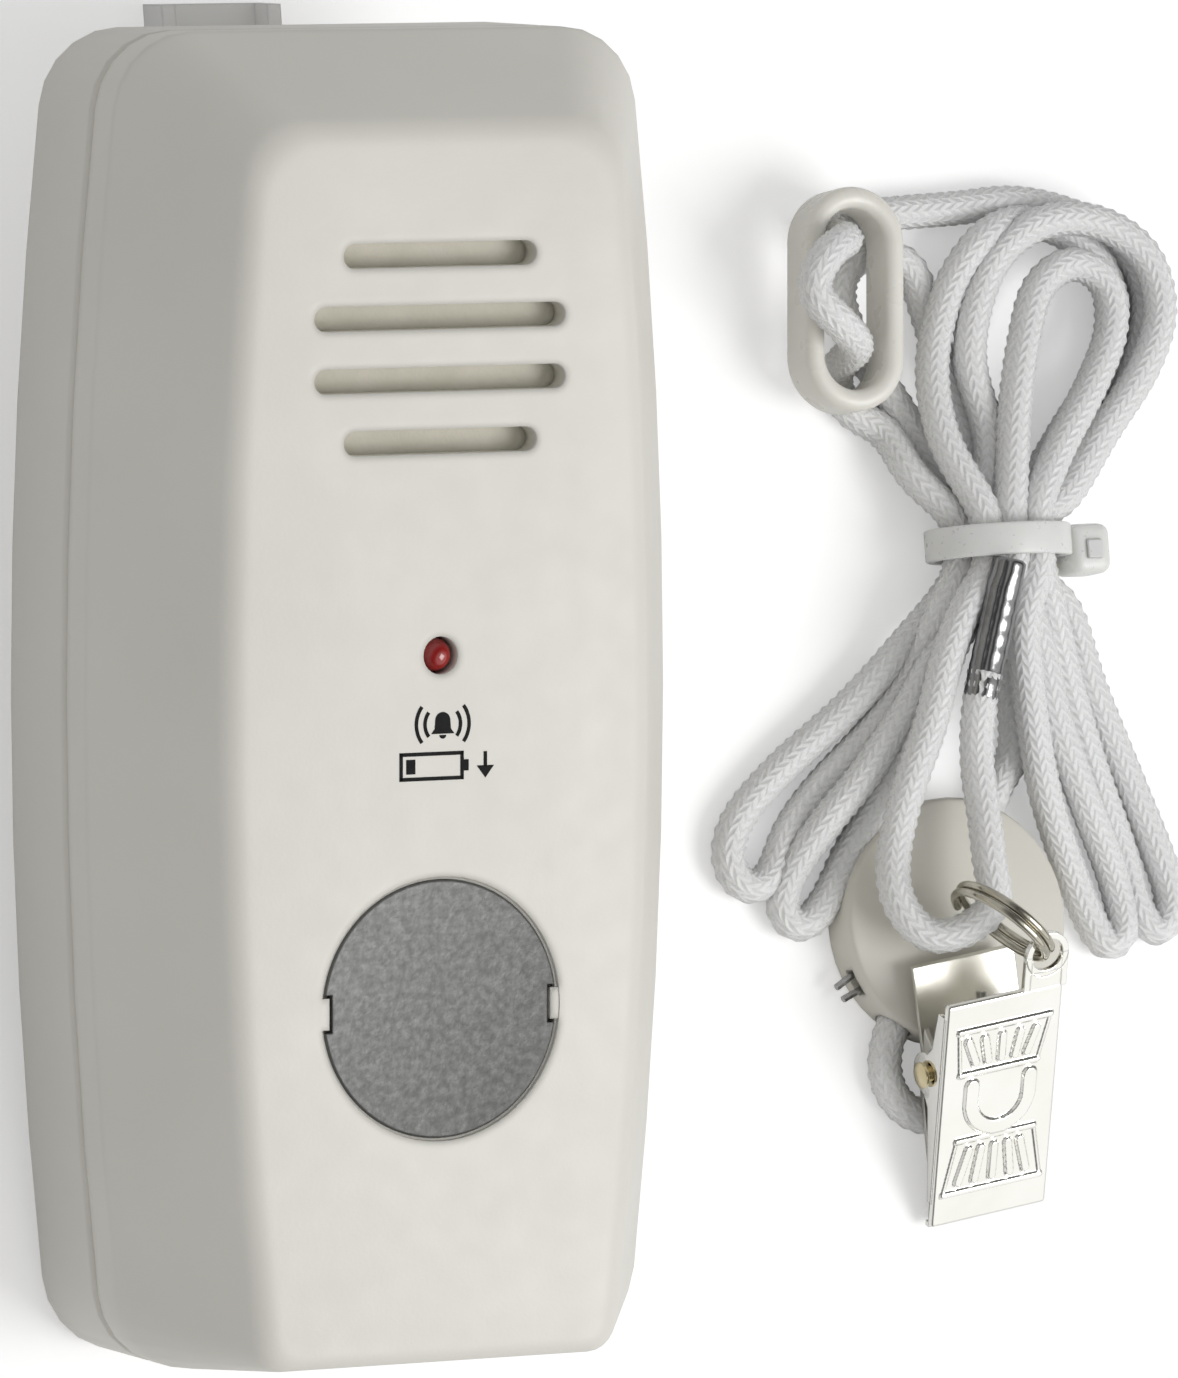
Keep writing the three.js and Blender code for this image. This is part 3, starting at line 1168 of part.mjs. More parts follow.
function clothFlange(x0, x1) {
  const [y, z] = clothPin;
  const shape = new THREE.Shape();
  shape.moveTo(2.5, -CLOTH_SHEET / 2);
  shape.lineTo(2.5, -1);
  shape.lineTo(y - CLOTH_EAR_RADIUS - 1, -CLOTH_FLANGE);
  shape.lineTo(y - CLOTH_EAR_RADIUS, z);
  shape.absarc(y, z, CLOTH_EAR_RADIUS, Math.PI, 2 * Math.PI, false);
  shape.lineTo(y + CLOTH_EAR_RADIUS + 1, -CLOTH_FLANGE);
  shape.lineTo(CLOTH_LENGTH - 1.5, -CLOTH_FLANGE + 0.6);
  shape.lineTo(CLOTH_LENGTH - 1.5, -CLOTH_SHEET / 2);
  return extrudedAcross(shape, x0, x1, 8);
}

const clothBore = () =>
  rodAcross(CLOTH_PIN_RADIUS + RUNNING, -clothHalf - CUT, clothHalf + CUT, clothPin[0], clothPin[1], 24);

function clothFrontJaw() {
  const plate = block([-clothHalf, clothHalf], [0, CLOTH_LENGTH], [-CLOTH_SHEET, 0]);
  const lip = block([-clothHalf, clothHalf], [0, CLOTH_SHEET], [-CLOTH_TIP_DROP, 0]);
  const flanges = [
    clothFlange(clothHalf - CLOTH_SHEET, clothHalf),
    clothFlange(-clothHalf, -clothHalf + CLOTH_SHEET),
  ];
  const eyeY = CLOTH_LENGTH + EYE_REACH - EYE_WIDTH / 2;
  const eye = joined([
    rod(EYE_WIDTH / 2, -CLOTH_SHEET, 0, [EYE_X, eyeY], 24),
    block([EYE_X - EYE_WIDTH / 2, EYE_X + EYE_WIDTH / 2], [CLOTH_LENGTH - CUT, eyeY], [-CLOTH_SHEET, 0]),
  ]);
  const hole = rod(EYE_HOLE_RADIUS, -CUT, CUT, [EYE_X, eyeY], 20);
  const body = joined([plate, lip, eye, clothStamping(), ...flanges]);
  return placeCloth(cutBy(body, [hole, clothBore()]));
}

function clothBackJaw() {
  const inner = clothHalf - CLOTH_SHEET - GAP;
  const tip = -CLOTH_TIP_DROP - GAP;
  const [y, z] = clothPin;
  const under = z - 1.8;
  const end = -CLOTH_SPREAD;
  const sheet = CLOTH_SHEET;
  const profile = [
    [0, tip - sheet], [3, tip - sheet - 0.1], [y - 3, under - sheet + 0.4], [y + 1, under - sheet],
    [CLOTH_LENGTH, end], [CLOTH_LENGTH, end + sheet], [y + 1, under], [y - 3, under + 0.4], [3, tip - 0.1], [0, tip],
  ];
  const plate = extrudedAcross(shapeOf(profile), -inner, inner);
  const ear = new THREE.Shape();
  ear.moveTo(y - CLOTH_EAR_RADIUS - 1.5, under + 0.4);
  ear.lineTo(y - CLOTH_EAR_RADIUS - 1.5, under);
  ear.lineTo(y + CLOTH_EAR_RADIUS + 1.5, under - 0.3);
  ear.lineTo(y + CLOTH_EAR_RADIUS - 0.2, z);
  ear.absarc(y, z, CLOTH_EAR_RADIUS - 0.2, 0, Math.PI, false);
  const ears = [
    extrudedAcross(ear, inner - CLOTH_SHEET, inner, 8),
    extrudedAcross(ear, -inner, -inner + CLOTH_SHEET, 8),
  ];
  return placeCloth(joined([plate, ...ears]).subtract(clothBore()));
}

function clothClipPin() {
  const end = clothHalf + GAP;
  const r = CLOTH_PIN_RADIUS;
  const head = CLOTH_PIN_HEAD_RADIUS;
  const profile = [
    [0, -end - CLOTH_PIN_HEAD], [head * 0.6, -end - CLOTH_PIN_HEAD], [head, -end - CLOTH_PIN_HEAD / 2],
    [head, -end], [r, -end], [r, end], [head, end],
    [head, end + CLOTH_PIN_HEAD / 2], [head * 0.6, end + CLOTH_PIN_HEAD], [0, end + CLOTH_PIN_HEAD],
  ];
  return placeCloth(turnedAcross(profile, clothPin[0], clothPin[1], 20));
}

function clothClipSpring() {
  const [y, z] = clothPin;
  const legY = y + CLOTH_SPRING_LEG;
  const share = (CLOTH_SPRING_LEG - 1) / (CLOTH_LENGTH - y - 1);
  const backZ = lerp(z - 1.8, CLOTH_SHEET - CLOTH_SPREAD, share);
  const room = CLOTH_SPRING_WIRE + GAP;
  return placeCloth(torsionSpring({
    wire: CLOTH_SPRING_WIRE,
    radius: CLOTH_SPRING_RADIUS,
    turns: CLOTH_SPRING_TURNS,
    legs: [
      [legY, -CLOTH_SHEET - room],
      [legY, backZ + room],
    ],
    y,
    z,
  }));
}

// Two turns of wire through the clip's eye and round the cord.
function splitRing() {
  const perTurn = 16;
  const count = perTurn * 2;
  const across = new THREE.Vector3(...RING_ACROSS).normalize();
  const normal = new THREE.Vector3(...RING_NORMAL).normalize();
  const up = new THREE.Vector3().crossVectors(normal, across).normalize();
  const eyeY = CLOTH_LENGTH + EYE_REACH - EYE_WIDTH / 2;
  const centre = clothPoint(EYE_X, eyeY, -CLOTH_SHEET / 2).addScaledVector(across, -RING_RADIUS);
  const points = Array.from({ length: count }, (_, i) => {
    const angle = Math.PI * 0.8 + (2 * Math.PI * i) / perTurn;
    return centre.clone()
      .addScaledVector(across, RING_RADIUS * Math.cos(angle))
      .addScaledVector(up, RING_RADIUS * Math.sin(angle))
      .addScaledVector(normal, RING_PITCH * (i / perTurn - 1))
      .toArray();
  });
  return tubeAlong(points, RING_WIRE, { sides: 6, steps: 3 * perTurn });
}

function buildCord() {
  const cord = new THREE.Group();
  addPiece(cord, "cord_hank_upper", hankUpper(), CORD_WHITE);
  addPiece(cord, "cord_hank_lower", hankLower(), CORD_WHITE);
  addPiece(cord, "cord_front_loop", frontLoop(), CORD_WHITE);
  addPiece(cord, "cord_slider_loop", sliderLoop(), CORD_WHITE);
  addPiece(cord, "cord_tail", cordTail(), CORD_WHITE);
  addPiece(cord, "cord_slider", cordSlider(), CREAM);
  addPiece(cord, "cable_tie", cableTie(), NYLON);
  addPiece(cord, "cord_tip", cordTip(), CHROME);
  addPiece(cord, "magnet_holder", magnetHolder(), CREAM);
  addPiece(cord, "magnet", magnet(), MAGNET_GREY);
  addPiece(cord, "wire_staple", wireStaple(), STEEL);
  addPiece(cord, "split_ring", splitRing(), CHROME);
  addPiece(cord, "cloth_clip_front_jaw", clothFrontJaw(), CHROME);
  addPiece(cord, "cloth_clip_back_jaw", clothBackJaw(), CHROME);
  addPiece(cord, "cloth_clip_pin", clothClipPin(), CHROME);
  addPiece(cord, "cloth_clip_spring", clothClipSpring(), STEEL);
  cord.position.set(WIDTH / 2 + TIE_FROM_HOUSING, TIE_Y, 0);
  return cord;
}

// The box round everything but the soft cord stands in the middle of the part's own X.
function hardBox(group) {
  const box = new THREE.Box3();
  group.updateMatrixWorld(true);
  group.traverse((piece) => {
    if (piece.isMesh && piece.material !== CORD_WHITE) box.expandByObject(piece, true);
  });
  return box;
}

const part = new THREE.Group();
part.add(buildAlarm());
part.add(buildCord());
const extent = hardBox(part);
part.position.x = -(extent.min.x + extent.max.x) / 2;
export default part;
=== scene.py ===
"""The looks of a magnetic fall alarm: an alarm housing, and the pull cord that lies beside it."""

import math

import bpy
import numpy as np
from mathutils import Matrix, Vector


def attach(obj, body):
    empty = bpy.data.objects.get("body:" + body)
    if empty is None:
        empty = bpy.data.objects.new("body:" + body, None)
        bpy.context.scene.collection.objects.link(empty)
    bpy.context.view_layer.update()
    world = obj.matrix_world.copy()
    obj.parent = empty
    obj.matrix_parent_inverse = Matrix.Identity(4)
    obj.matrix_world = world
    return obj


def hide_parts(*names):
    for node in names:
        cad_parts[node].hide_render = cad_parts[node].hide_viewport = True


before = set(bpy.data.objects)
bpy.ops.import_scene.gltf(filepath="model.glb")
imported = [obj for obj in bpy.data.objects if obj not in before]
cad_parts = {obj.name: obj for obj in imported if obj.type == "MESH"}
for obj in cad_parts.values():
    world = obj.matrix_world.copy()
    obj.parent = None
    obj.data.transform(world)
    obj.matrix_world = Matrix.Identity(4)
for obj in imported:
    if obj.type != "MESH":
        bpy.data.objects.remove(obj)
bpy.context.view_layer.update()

MM = 0.001
ROOT = "alarm_and_cord"
FRONT_JAW = "cloth_clip_front"

# ---------------------------------------------------------------- places, as the CAD has them

ALARM = Matrix.Translation((-28.65, -0.3291, 9.1273)) @ Matrix.Rotation(0.15910392, 4, "X")
CORD = Matrix.Translation((46.55, 10.2, 0))
CLOTH = (
    CORD
    @ Matrix.Translation((-3.9, -62.5, 1.75))
    @ Matrix.Rotation(math.radians(8.5), 4, "Z")
    @ Matrix.Rotation(math.radians(31), 4, "X")
)
FACE_Z = 30.2
PRINT_Z = (FACE_Z + 0.005, FACE_Z + 0.03)
STROKE = 0.34
CORD_DIAMETER = 3.0

# The cord's route in the cord's own frame: out of the magnet holder, through ten places in the
# tie, and into the crimped tip.
ROUTE = [
    (-1.7, -26.2, 2.1), (-0.9, -24.7, 2.1), (0.3, -22, 2.1), (1.8, -20.1, 2.6), (2.2, -13.6, 3),
    (2.4, -7.5, 3.2), (0, -2.3, 3.3), (0, 0, 3.3), (0, 2.3, 3.3), (-0.1, 7.2, 2.9),
    (-1.7, 14.5, 2), (-3.5, 22.3, 1.8), (-5.3, 27, 1.8), (-10.5, 27.6, 1.7), (-12.6, 24.6, 1.7),
    (-11.6, 20.4, 1.7), (-6.6, 12.2, 1.9), (-4, 6.4, 2.6), (-2.7, 2.3, 3.3), (-2.7, 0, 3.3),
    (-2.7, -2.3, 3.3), (-9.7, -9.5, 3.3), (-15.4, -14.7, 2.6), (-22.9, -20.3, 1.9),
    (-27.4, -24.7, 1.8), (-28.6, -28, 1.8), (-27.1, -30.8, 1.8), (-24.6, -30.4, 1.8),
    (-22, -25.8, 1.8), (-18.6, -22, 1.9), (-13.1, -17, 2.8), (-9, -12.2, 4.2), (-6.4, -6.5, 5.6),
    (-4.2, -2.3, 6.1), (-4.2, 0, 6.1), (-4.2, 2.3, 6.1), (-7.7, 6.8, 4.4), (-9, 11.1, 2.2),
    (-12.6, 13.4, 1.6), (-13.8, 16.2, 1.9), (-14.1, 17.6, 4.2), (-14.6, 18.6, 8.6),
    (-17.6, 20.6, 11.1), (-20.4, 23.6, 11.3), (-18.2, 27.2, 11.1), (-14.9, 28.6, 8.6),
    (-14, 29.2, 4.2), (-12.6, 30.6, 1.8), (-8.6, 31.4, 1.7), (0.9, 32, 1.8), (6.5, 32.4, 1.8),
    (12.3, 31.2, 1.8), (17.6, 28.6, 1.8), (20.2, 23.8, 1.8), (19.1, 18.2, 1.8),
    (13.9, 10.5, 2.2), (8.8, 4.6, 2.8), (2.7, 2.3, 3.3), (2.7, 0, 3.3), (2.7, -2.3, 3.3),
    (7.7, -5.3, 3.2), (10.6, -13.4, 2.6), (14.3, -22.4, 1.9), (17.2, -30.3, 1.8),
    (18.1, -34.4, 1.8), (16.4, -37, 1.8), (14.4, -34.9, 1.8), (13, -29, 1.8), (10.2, -21.4, 2.6),
    (7.2, -12.9, 4.2), (5.3, -6.4, 5.6), (4.2, -2.3, 6.1), (4.2, 0, 6.1), (4.2, 2.3, 6.1),
    (7.4, 3.9, 5.6), (12.9, 10.4, 4.9), (17.9, 16.5, 4.8), (20, 21.8, 4.8), (18.7, 26.9, 4.8),
    (14.1, 30, 4.8), (8.1, 30.2, 4.8), (3, 27.3, 4.8), (0.2, 22.4, 4.8), (-0.9, 17, 4.8),
    (0.4, 9.8, 5.2), (-1.4, 2.3, 6.1), (-1.4, 0, 6.1), (-1.4, -2.3, 6.1), (-6.3, -8.8, 6),
    (-10.8, -15.6, 5.4), (-15.1, -20.9, 4.9), (-19.5, -25.5, 4.2), (-22.7, -30.3, 2.2),
    (-23.3, -33.4, 1.8), (-21.5, -34.8, 1.8), (-18.8, -32.7, 1.8), (-16, -27.8, 2.4),
    (-12.7, -22.5, 4.2), (-8.8, -15.3, 6.6), (-5.9, -8.1, 8.2), (0, -2.3, 8.9), (0, 0, 8.9),
    (0, 2.3, 8.9), (0.9, 6.6, 8.2), (2, 11.8, 7.4), (4.3, 19, 6.2), (7.1, 24.3, 5),
    (11, 26.3, 4.8), (14.4, 24.2, 4.8), (14.5, 20.2, 5), (11.3, 14.7, 6), (6, 8, 7.6),
    (2.6, 2.3, 8.9), (2.6, 0, 8.9), (2.6, -2.3, 8.9), (1, -7.4, 8.2), (1.8, -14.8, 6.8),
    (3.7, -23.2, 4.8), (7, -30.6, 2.6), (9.4, -35.9, 1.8), (10.9, -38.1, 1.8),
    (12.7, -36.7, 1.8), (12, -32.2, 2.2), (8, -24.3, 4.6), (4.9, -16.7, 5.8), (3.4, -9.2, 6.2),
    (1.4, -2.3, 6.1), (1.4, 0, 6.1), (1.4, 2.3, 6.1), (5, 5.9, 5.2), (9.6, 10.7, 3.4),
    (14.6, 16.2, 1.9), (16.3, 21.1, 1.8), (15.7, 26, 1.8), (11.9, 29.5, 1.8), (5.5, 30.4, 3.4),
    (1, 28.3, 4.6), (-2.2, 23.9, 4), (-4.8, 17.1, 4.6), (-5.2, 9.8, 6.6), (-2.6, 2.3, 8.9),
    (-2.6, 0, 8.9), (-2.6, -2.3, 8.9), (-5.4, -6.2, 8.9), (-7.4, -10.1, 8.7), (-10, -17, 8.7),
    (-12.6, -22.6, 8.5), (-14.6, -28.7, 8.3), (-14.9, -33, 8.9), (-12.3, -36.6, 9.9),
    (-8.2, -35.8, 11.1), (-5.9, -33.6, 11.5), (-6.2, -30.8, 11.3), (-5.9, -26.4, 10.4),
    (-5.7, -20.6, 9.3), (-5.25, -15.6, 9.55), (-4.4, -12, 9.95),
]

# The cord's fixed end: a short loop from the holder's side, under the cloth clip and back.
TAIL = [
    (-8.6, -37.6, 2.1), (-10.6, -40.8, 2.1), (-12.6, -44.2, 2.0), (-13.7, -47.2, 1.8),
    (-13.4, -50.3, 1.75), (-11.4, -52.5, 1.7), (-8.4, -53.2, 1.7), (-5.4, -52.2, 1.7),
    (-3.6, -49.6, 1.75), (-3.1, -46.2, 1.8), (-3.6, -42.6, 1.9),
]


def place(points, matrix=None):
    """Points in millimetres, as metres in the row frame."""
    points = np.array(points, float).reshape(-1, 3)
    if matrix is not None:
        m = np.array(matrix)
        points = points @ m[:3, :3].T + m[:3, 3]
    return points * MM


# ---------------------------------------------------------------- materials


class Nodes:
    """A material's node tree, with short ways to add the nodes that the finishes share."""

    def __init__(self, name):
        self.material = bpy.data.materials.new(name)
        self.material.use_nodes = True
        self.tree = self.material.node_tree
        self.shader = self.tree.nodes["Principled BSDF"]

    def link(self, source, target):
        self.tree.links.new(source, target)

    def add(self, kind, **inputs):
        node = self.tree.nodes.new(kind)
        for name, value in inputs.items():
            self.feed(node.inputs[name.replace("_", " ")], value)
        return node

    def feed(self, socket, value):
        if isinstance(value, bpy.types.NodeSocket):
            self.link(value, socket)
        else:
            socket.default_value = value

    def set(self, **inputs):
        for name, value in inputs.items():
            self.feed(self.shader.inputs[name.replace("_", " ")], value)

    def math(self, operation, *values):
        node = self.tree.nodes.new("ShaderNodeMath")
        node.operation = operation
        for socket, value in zip(node.inputs, values):
            self.feed(socket, value)
        return node.outputs[0]

    def where(self, stretch=(1, 1, 1)):
        """The place on the object in metres, stretched to run a grain one way."""
        coordinates = self.add("ShaderNodeTexCoord")
        mapping = self.add("ShaderNodeMapping", Scale=stretch)
        self.link(coordinates.outputs["Object"], mapping.inputs["Vector"])
        return mapping.outputs["Vector"]

    def noise(self, scale, detail=3.0, stretch=(1, 1, 1)):
        node = self.add("ShaderNodeTexNoise", Vector=self.where(stretch), Scale=scale, Detail=detail)
        return node.outputs["Fac"]

    def ramp(self, factor, *stops):
        node = self.add("ShaderNodeValToRGB", Fac=factor)
        elements = node.color_ramp.elements
        while len(elements) < len(stops):
            elements.new(0.5)
        for element, (position, colour) in zip(elements, stops):
            element.position = position
            element.color = (*colour, 1)
        return node.outputs["Color"]

    def span(self, factor, low, high):
        node = self.add("ShaderNodeMapRange", Value=factor)
        node.inputs["From Min"].default_value = 0.3
        node.inputs["From Max"].default_value = 0.7
        node.inputs["To Min"].default_value = low
        node.inputs["To Max"].default_value = high
        return node.outputs["Result"]

    def bump(self, height, depth, normal=None):
        node = self.add("ShaderNodeBump", Height=height, Distance=depth, Strength=1.0)
        if normal is not None:
            self.link(normal, node.inputs["Normal"])
        return node.outputs["Normal"]

    def rounded(self, radius):
        """Normals that turn smoothly over a hard edge."""
        node = self.add("ShaderNodeBevel", Radius=radius)
        node.samples = 6
        return node.outputs["Normal"]


def finish(
    name, dark, light, rough, mottle=45.0, grain=2200.0, depth=0.000012, edge=0.0003,
    stretch=(1, 1, 1), **sockets
):
    """A finish whose tone and gloss drift over the surface, with a fine grain and soft edges."""
    n = Nodes(name)
    tone = n.noise(mottle, 4.0, stretch)
    n.set(Base_Color=n.ramp(tone, (0.32, dark), (0.68, light)))
    n.set(Roughness=n.span(n.noise(mottle * 7, 3.0, stretch), rough[0], rough[1]))
    normal = n.rounded(edge) if edge else None
    normal = n.bump(n.noise(grain, 2.0, stretch), depth, normal)
    n.link(normal, n.shader.inputs["Normal"])
    n.set(**sockets)
    return n.material


def braid_finish():
    """Knitted cord: columns of V stitches, glossy on their crowns, with painted shade between them in the
    base colour.
    """
    n = Nodes("cord_braid")
    uv = n.add("ShaderNodeUVMap")
    parts = n.add("ShaderNodeSeparateXYZ", Vector=uv.outputs["UV"])
    from_middle = n.math("SUBTRACT", n.math("FRACT", parts.outputs["X"]), 0.5)
    across = n.math("MULTIPLY", n.math("ABSOLUTE", from_middle), 2.0)
    phase = n.math("SUBTRACT", parts.outputs["Y"], n.math("MULTIPLY", across, 0.62))
    wave = n.math("SINE", n.math("MULTIPLY", phase, math.tau))
    stitch = n.math("ADD", n.math("MULTIPLY", wave, 0.5), 0.5)
    leg = n.math("SINE", n.math("MULTIPLY", across, math.pi))
    arched = n.math("ADD", n.math("MULTIPLY", leg, 0.6), 0.4)
    crown = n.math("MULTIPLY", n.math("POWER", stitch, 0.7), arched)
    strand = n.math("ADD", phase, n.math("MULTIPLY", across, 1.7))
    yarn = n.math("SINE", n.math("MULTIPLY", strand, math.tau * 4))
    fuzz = n.noise(3500.0, 2.0)
    # Painted shade: the base colour darkens from the stitch crowns into the valleys between them.
    n.set(Base_Color=n.ramp(
        n.math("ADD", n.math("MULTIPLY", crown, 0.85), n.math("MULTIPLY", fuzz, 0.3)),
        (0.0, (0.82, 0.82, 0.80)), (0.3, (0.96, 0.96, 0.955)), (0.7, (0.995, 0.995, 0.99)),
    ))
    n.set(Roughness=n.span(fuzz, 0.22, 0.42))
    height = n.math("ADD", crown, n.math("MULTIPLY", yarn, 0.07))
    n.link(n.bump(height, 0.00021), n.shader.inputs["Normal"])
    n.set(Specular_IOR_Level=0.75, Coat_Weight=0.2, Coat_Roughness=0.16)
    n.set(Subsurface_Weight=0.45, Subsurface_Radius=(1.0, 1.0, 0.97), Subsurface_Scale=0.0009)
    return n.material


def keeper_finish():
    """Tumbled steel: a fine even grain, and a painted light gradient that makes it a little lighter towards
    one side.
    """
    n = Nodes("keeper_steel")
    parts = n.add("ShaderNodeSeparateXYZ", Vector=n.where())
    # Painted light: a straight gradient that makes the base colour lighter towards one side of the keeper.
    painted_light_slant = n.math(
        "ADD", n.math("MULTIPLY", parts.outputs["X"], -14.0), n.math("MULTIPLY", parts.outputs["Y"], 14.0)
    )
    shade = n.math("ADD", n.math("ADD", painted_light_slant, 0.40), n.math("MULTIPLY", n.noise(6000.0, 2.0), 0.34))
    n.set(Base_Color=n.ramp(shade, (0.1, (0.05, 0.05, 0.049)), (1.0, (0.165, 0.165, 0.161))))
    n.set(Roughness=n.span(n.noise(1500.0, 3.0), 0.36, 0.52), Metallic=0.5)
    normal = n.bump(n.noise(3200.0, 3.0), 0.00003, n.rounded(0.0002))
    n.link(normal, n.shader.inputs["Normal"])
    return n.material


FINISHES = {
    "housing_front": finish("housing_front", (0.735, 0.715, 0.655), (0.765, 0.745, 0.685), (0.36, 0.44),
                            edge=0.0011, Specular_IOR_Level=0.45),
    "housing_rear": finish("housing_rear", (0.725, 0.705, 0.65), (0.755, 0.735, 0.68), (0.38, 0.46),
                           edge=0.0008, Specular_IOR_Level=0.45),
    # Painted light: the clip's base colour is set lighter than its plastic, to stand in for light on the tab
    # that lies in the housing's shadow.
    "clip_plastic": finish("clip_plastic", (0.85, 0.845, 0.83), (0.89, 0.885, 0.87),
                           (0.34, 0.42), edge=0.0004),
    "keeper_steel": keeper_finish(),
    "lens_red": finish("lens_red", (0.36, 0.004, 0.004), (0.52, 0.012, 0.01), (0.05, 0.12), mottle=500.0,
                       depth=0.000004, edge=0.0, Coat_Weight=0.8, Coat_Roughness=0.04,
                       Transmission_Weight=0.35, IOR=1.5),
    "dust_cloth": finish("dust_cloth", (0.66, 0.635, 0.54), (0.72, 0.69, 0.60), (0.7, 0.85), mottle=300.0,
                         grain=3000.0, depth=0.00006, edge=0.0),
    "black_plastic": finish("black_plastic", (0.018, 0.018, 0.019), (0.03, 0.03, 0.031), (0.38, 0.5)),
    "board_green": finish("board_green", (0.02, 0.12, 0.05), (0.035, 0.17, 0.075), (0.3, 0.42)),
    "reed_glass": finish("reed_glass", (0.55, 0.62, 0.6), (0.65, 0.7, 0.68), (0.04, 0.09),
                         Transmission_Weight=0.7, IOR=1.47),
    "battery_case": finish("battery_case", (0.05, 0.052, 0.056), (0.08, 0.082, 0.088), (0.25, 0.35),
                           Metallic=0.6),
    "wire_red": finish("wire_red", (0.45, 0.02, 0.015), (0.55, 0.03, 0.02), (0.35, 0.45)),
    "wire_black": finish("wire_black", (0.015, 0.015, 0.015), (0.028, 0.028, 0.028), (0.35, 0.45)),
    "screw_steel": finish("screw_steel", (0.5, 0.5, 0.49), (0.62, 0.61, 0.6), (0.22, 0.36), mottle=300.0,
                          edge=0.00015, Metallic=1.0),
    "spring_steel": finish("spring_steel", (0.34, 0.34, 0.34), (0.52, 0.52, 0.52), (0.18, 0.3), mottle=400.0,
                           edge=0.0, Metallic=1.0),
    "slider_plastic": finish("slider_plastic", (0.80, 0.78, 0.72), (0.85, 0.83, 0.77), (0.24, 0.34),
                             edge=0.0003, Subsurface_Weight=0.12, Subsurface_Scale=0.001,
                             Subsurface_Radius=(1.0, 0.8, 0.5)),
    "tie_nylon": finish("tie_nylon", (0.90, 0.90, 0.86), (0.96, 0.96, 0.93), (0.26, 0.38), mottle=200.0,
                        edge=0.0002, Subsurface_Weight=0.5, Subsurface_Scale=0.0015,
                        Subsurface_Radius=(1.0, 0.95, 0.8), Transmission_Weight=0.15),
    "holder_plastic": finish("holder_plastic", (0.70, 0.68, 0.61), (0.74, 0.72, 0.65), (0.34, 0.44),
                             edge=0.0006),
    "magnet_grey": finish("magnet_grey", (0.10, 0.10, 0.105), (0.16, 0.16, 0.165), (0.35, 0.5), mottle=300.0,
                          Metallic=0.7),
    "rivet_brass": finish("rivet_brass", (0.62, 0.52, 0.30), (0.80, 0.72, 0.50), (0.1, 0.2), mottle=500.0,
                          edge=0.0001, Metallic=1.0),
    "chrome_plate": finish("chrome_plate", (0.93, 0.92, 0.87), (0.98, 0.975, 0.94),
                           (0.05, 0.11), mottle=160.0,
                           grain=1200.0, depth=0.000003, edge=0.00015, Metallic=1.0),
    "cord_braid": braid_finish(),
}
# Painted shade: the back jaw is the same plated sheet as the front jaw, given a darker copy of its finish; it
# is also rougher.
ROUGH_PLATE_PAINTED_SHADE = finish("rough_plate_painted_shade", (0.70, 0.685, 0.62), (0.80, 0.785, 0.73),
                    (0.28, 0.36), mottle=160.0, grain=1200.0,
                    depth=0.000004, edge=0.0002, Metallic=1.0)
RING_METAL = finish("ring_metal", (0.40, 0.38, 0.32), (0.62, 0.59, 0.50),
                    (0.08, 0.16), mottle=300.0, edge=0.0,
                    Metallic=1.0)
# Painted reflection: the crimped tip is plated like the chrome parts, but its base colour is set dark to
# paint in the dark reflections on it.
TIP_CHROME_PAINTED_REFLECTION = finish("tip_chrome_painted_reflection", (0.20, 0.20, 0.205), (0.30, 0.30, 0.30), (0.12, 0.22), mottle=400.0, edge=0.0,
                   Metallic=1.0)
INK = finish("printed_ink", (0.006, 0.006, 0.006), (0.012, 0.012, 0.012), (0.6, 0.7), mottle=900.0, edge=0.0,
             Specular_IOR_Level=0.15)


# ---------------------------------------------------------------- shapes


def add_piece(name, points, faces, slot, body=ROOT, hides=(), material=None, uv=None, sharp=40.0):
    """A mesh piece from points in metres. It rides on its body and stands for the hidden nodes."""
    mesh = bpy.data.meshes.new(name)
    if isinstance(faces, np.ndarray):
        count = len(faces)
        mesh.vertices.add(len(points))
        mesh.vertices.foreach_set("co", np.asarray(points, np.float32).ravel())
        mesh.loops.add(faces.size)
        mesh.loops.foreach_set("vertex_index", faces.astype(np.int32).ravel())
        mesh.polygons.add(count)
        mesh.polygons.foreach_set("loop_start", np.arange(0, faces.size, faces.shape[1], dtype=np.int32))
        mesh.update(calc_edges=True)
    else:
        mesh.from_pydata([tuple(p) for p in points], [], [tuple(f) for f in faces])
    if uv is not None:
        layer = mesh.uv_layers.new(name="UVMap")
        layer.data.foreach_set("uv", np.asarray(uv, np.float32).ravel())
    mesh.validate()
    mesh.shade_smooth()
    mesh.set_sharp_from_angle(angle=math.radians(sharp))
    mesh.materials.append(material or FINISHES[slot])
    piece = bpy.data.objects.new(name, mesh)
    bpy.context.scene.collection.objects.link(piece)
    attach(piece, body)
    if hides:
        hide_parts(*hides)
    return piece


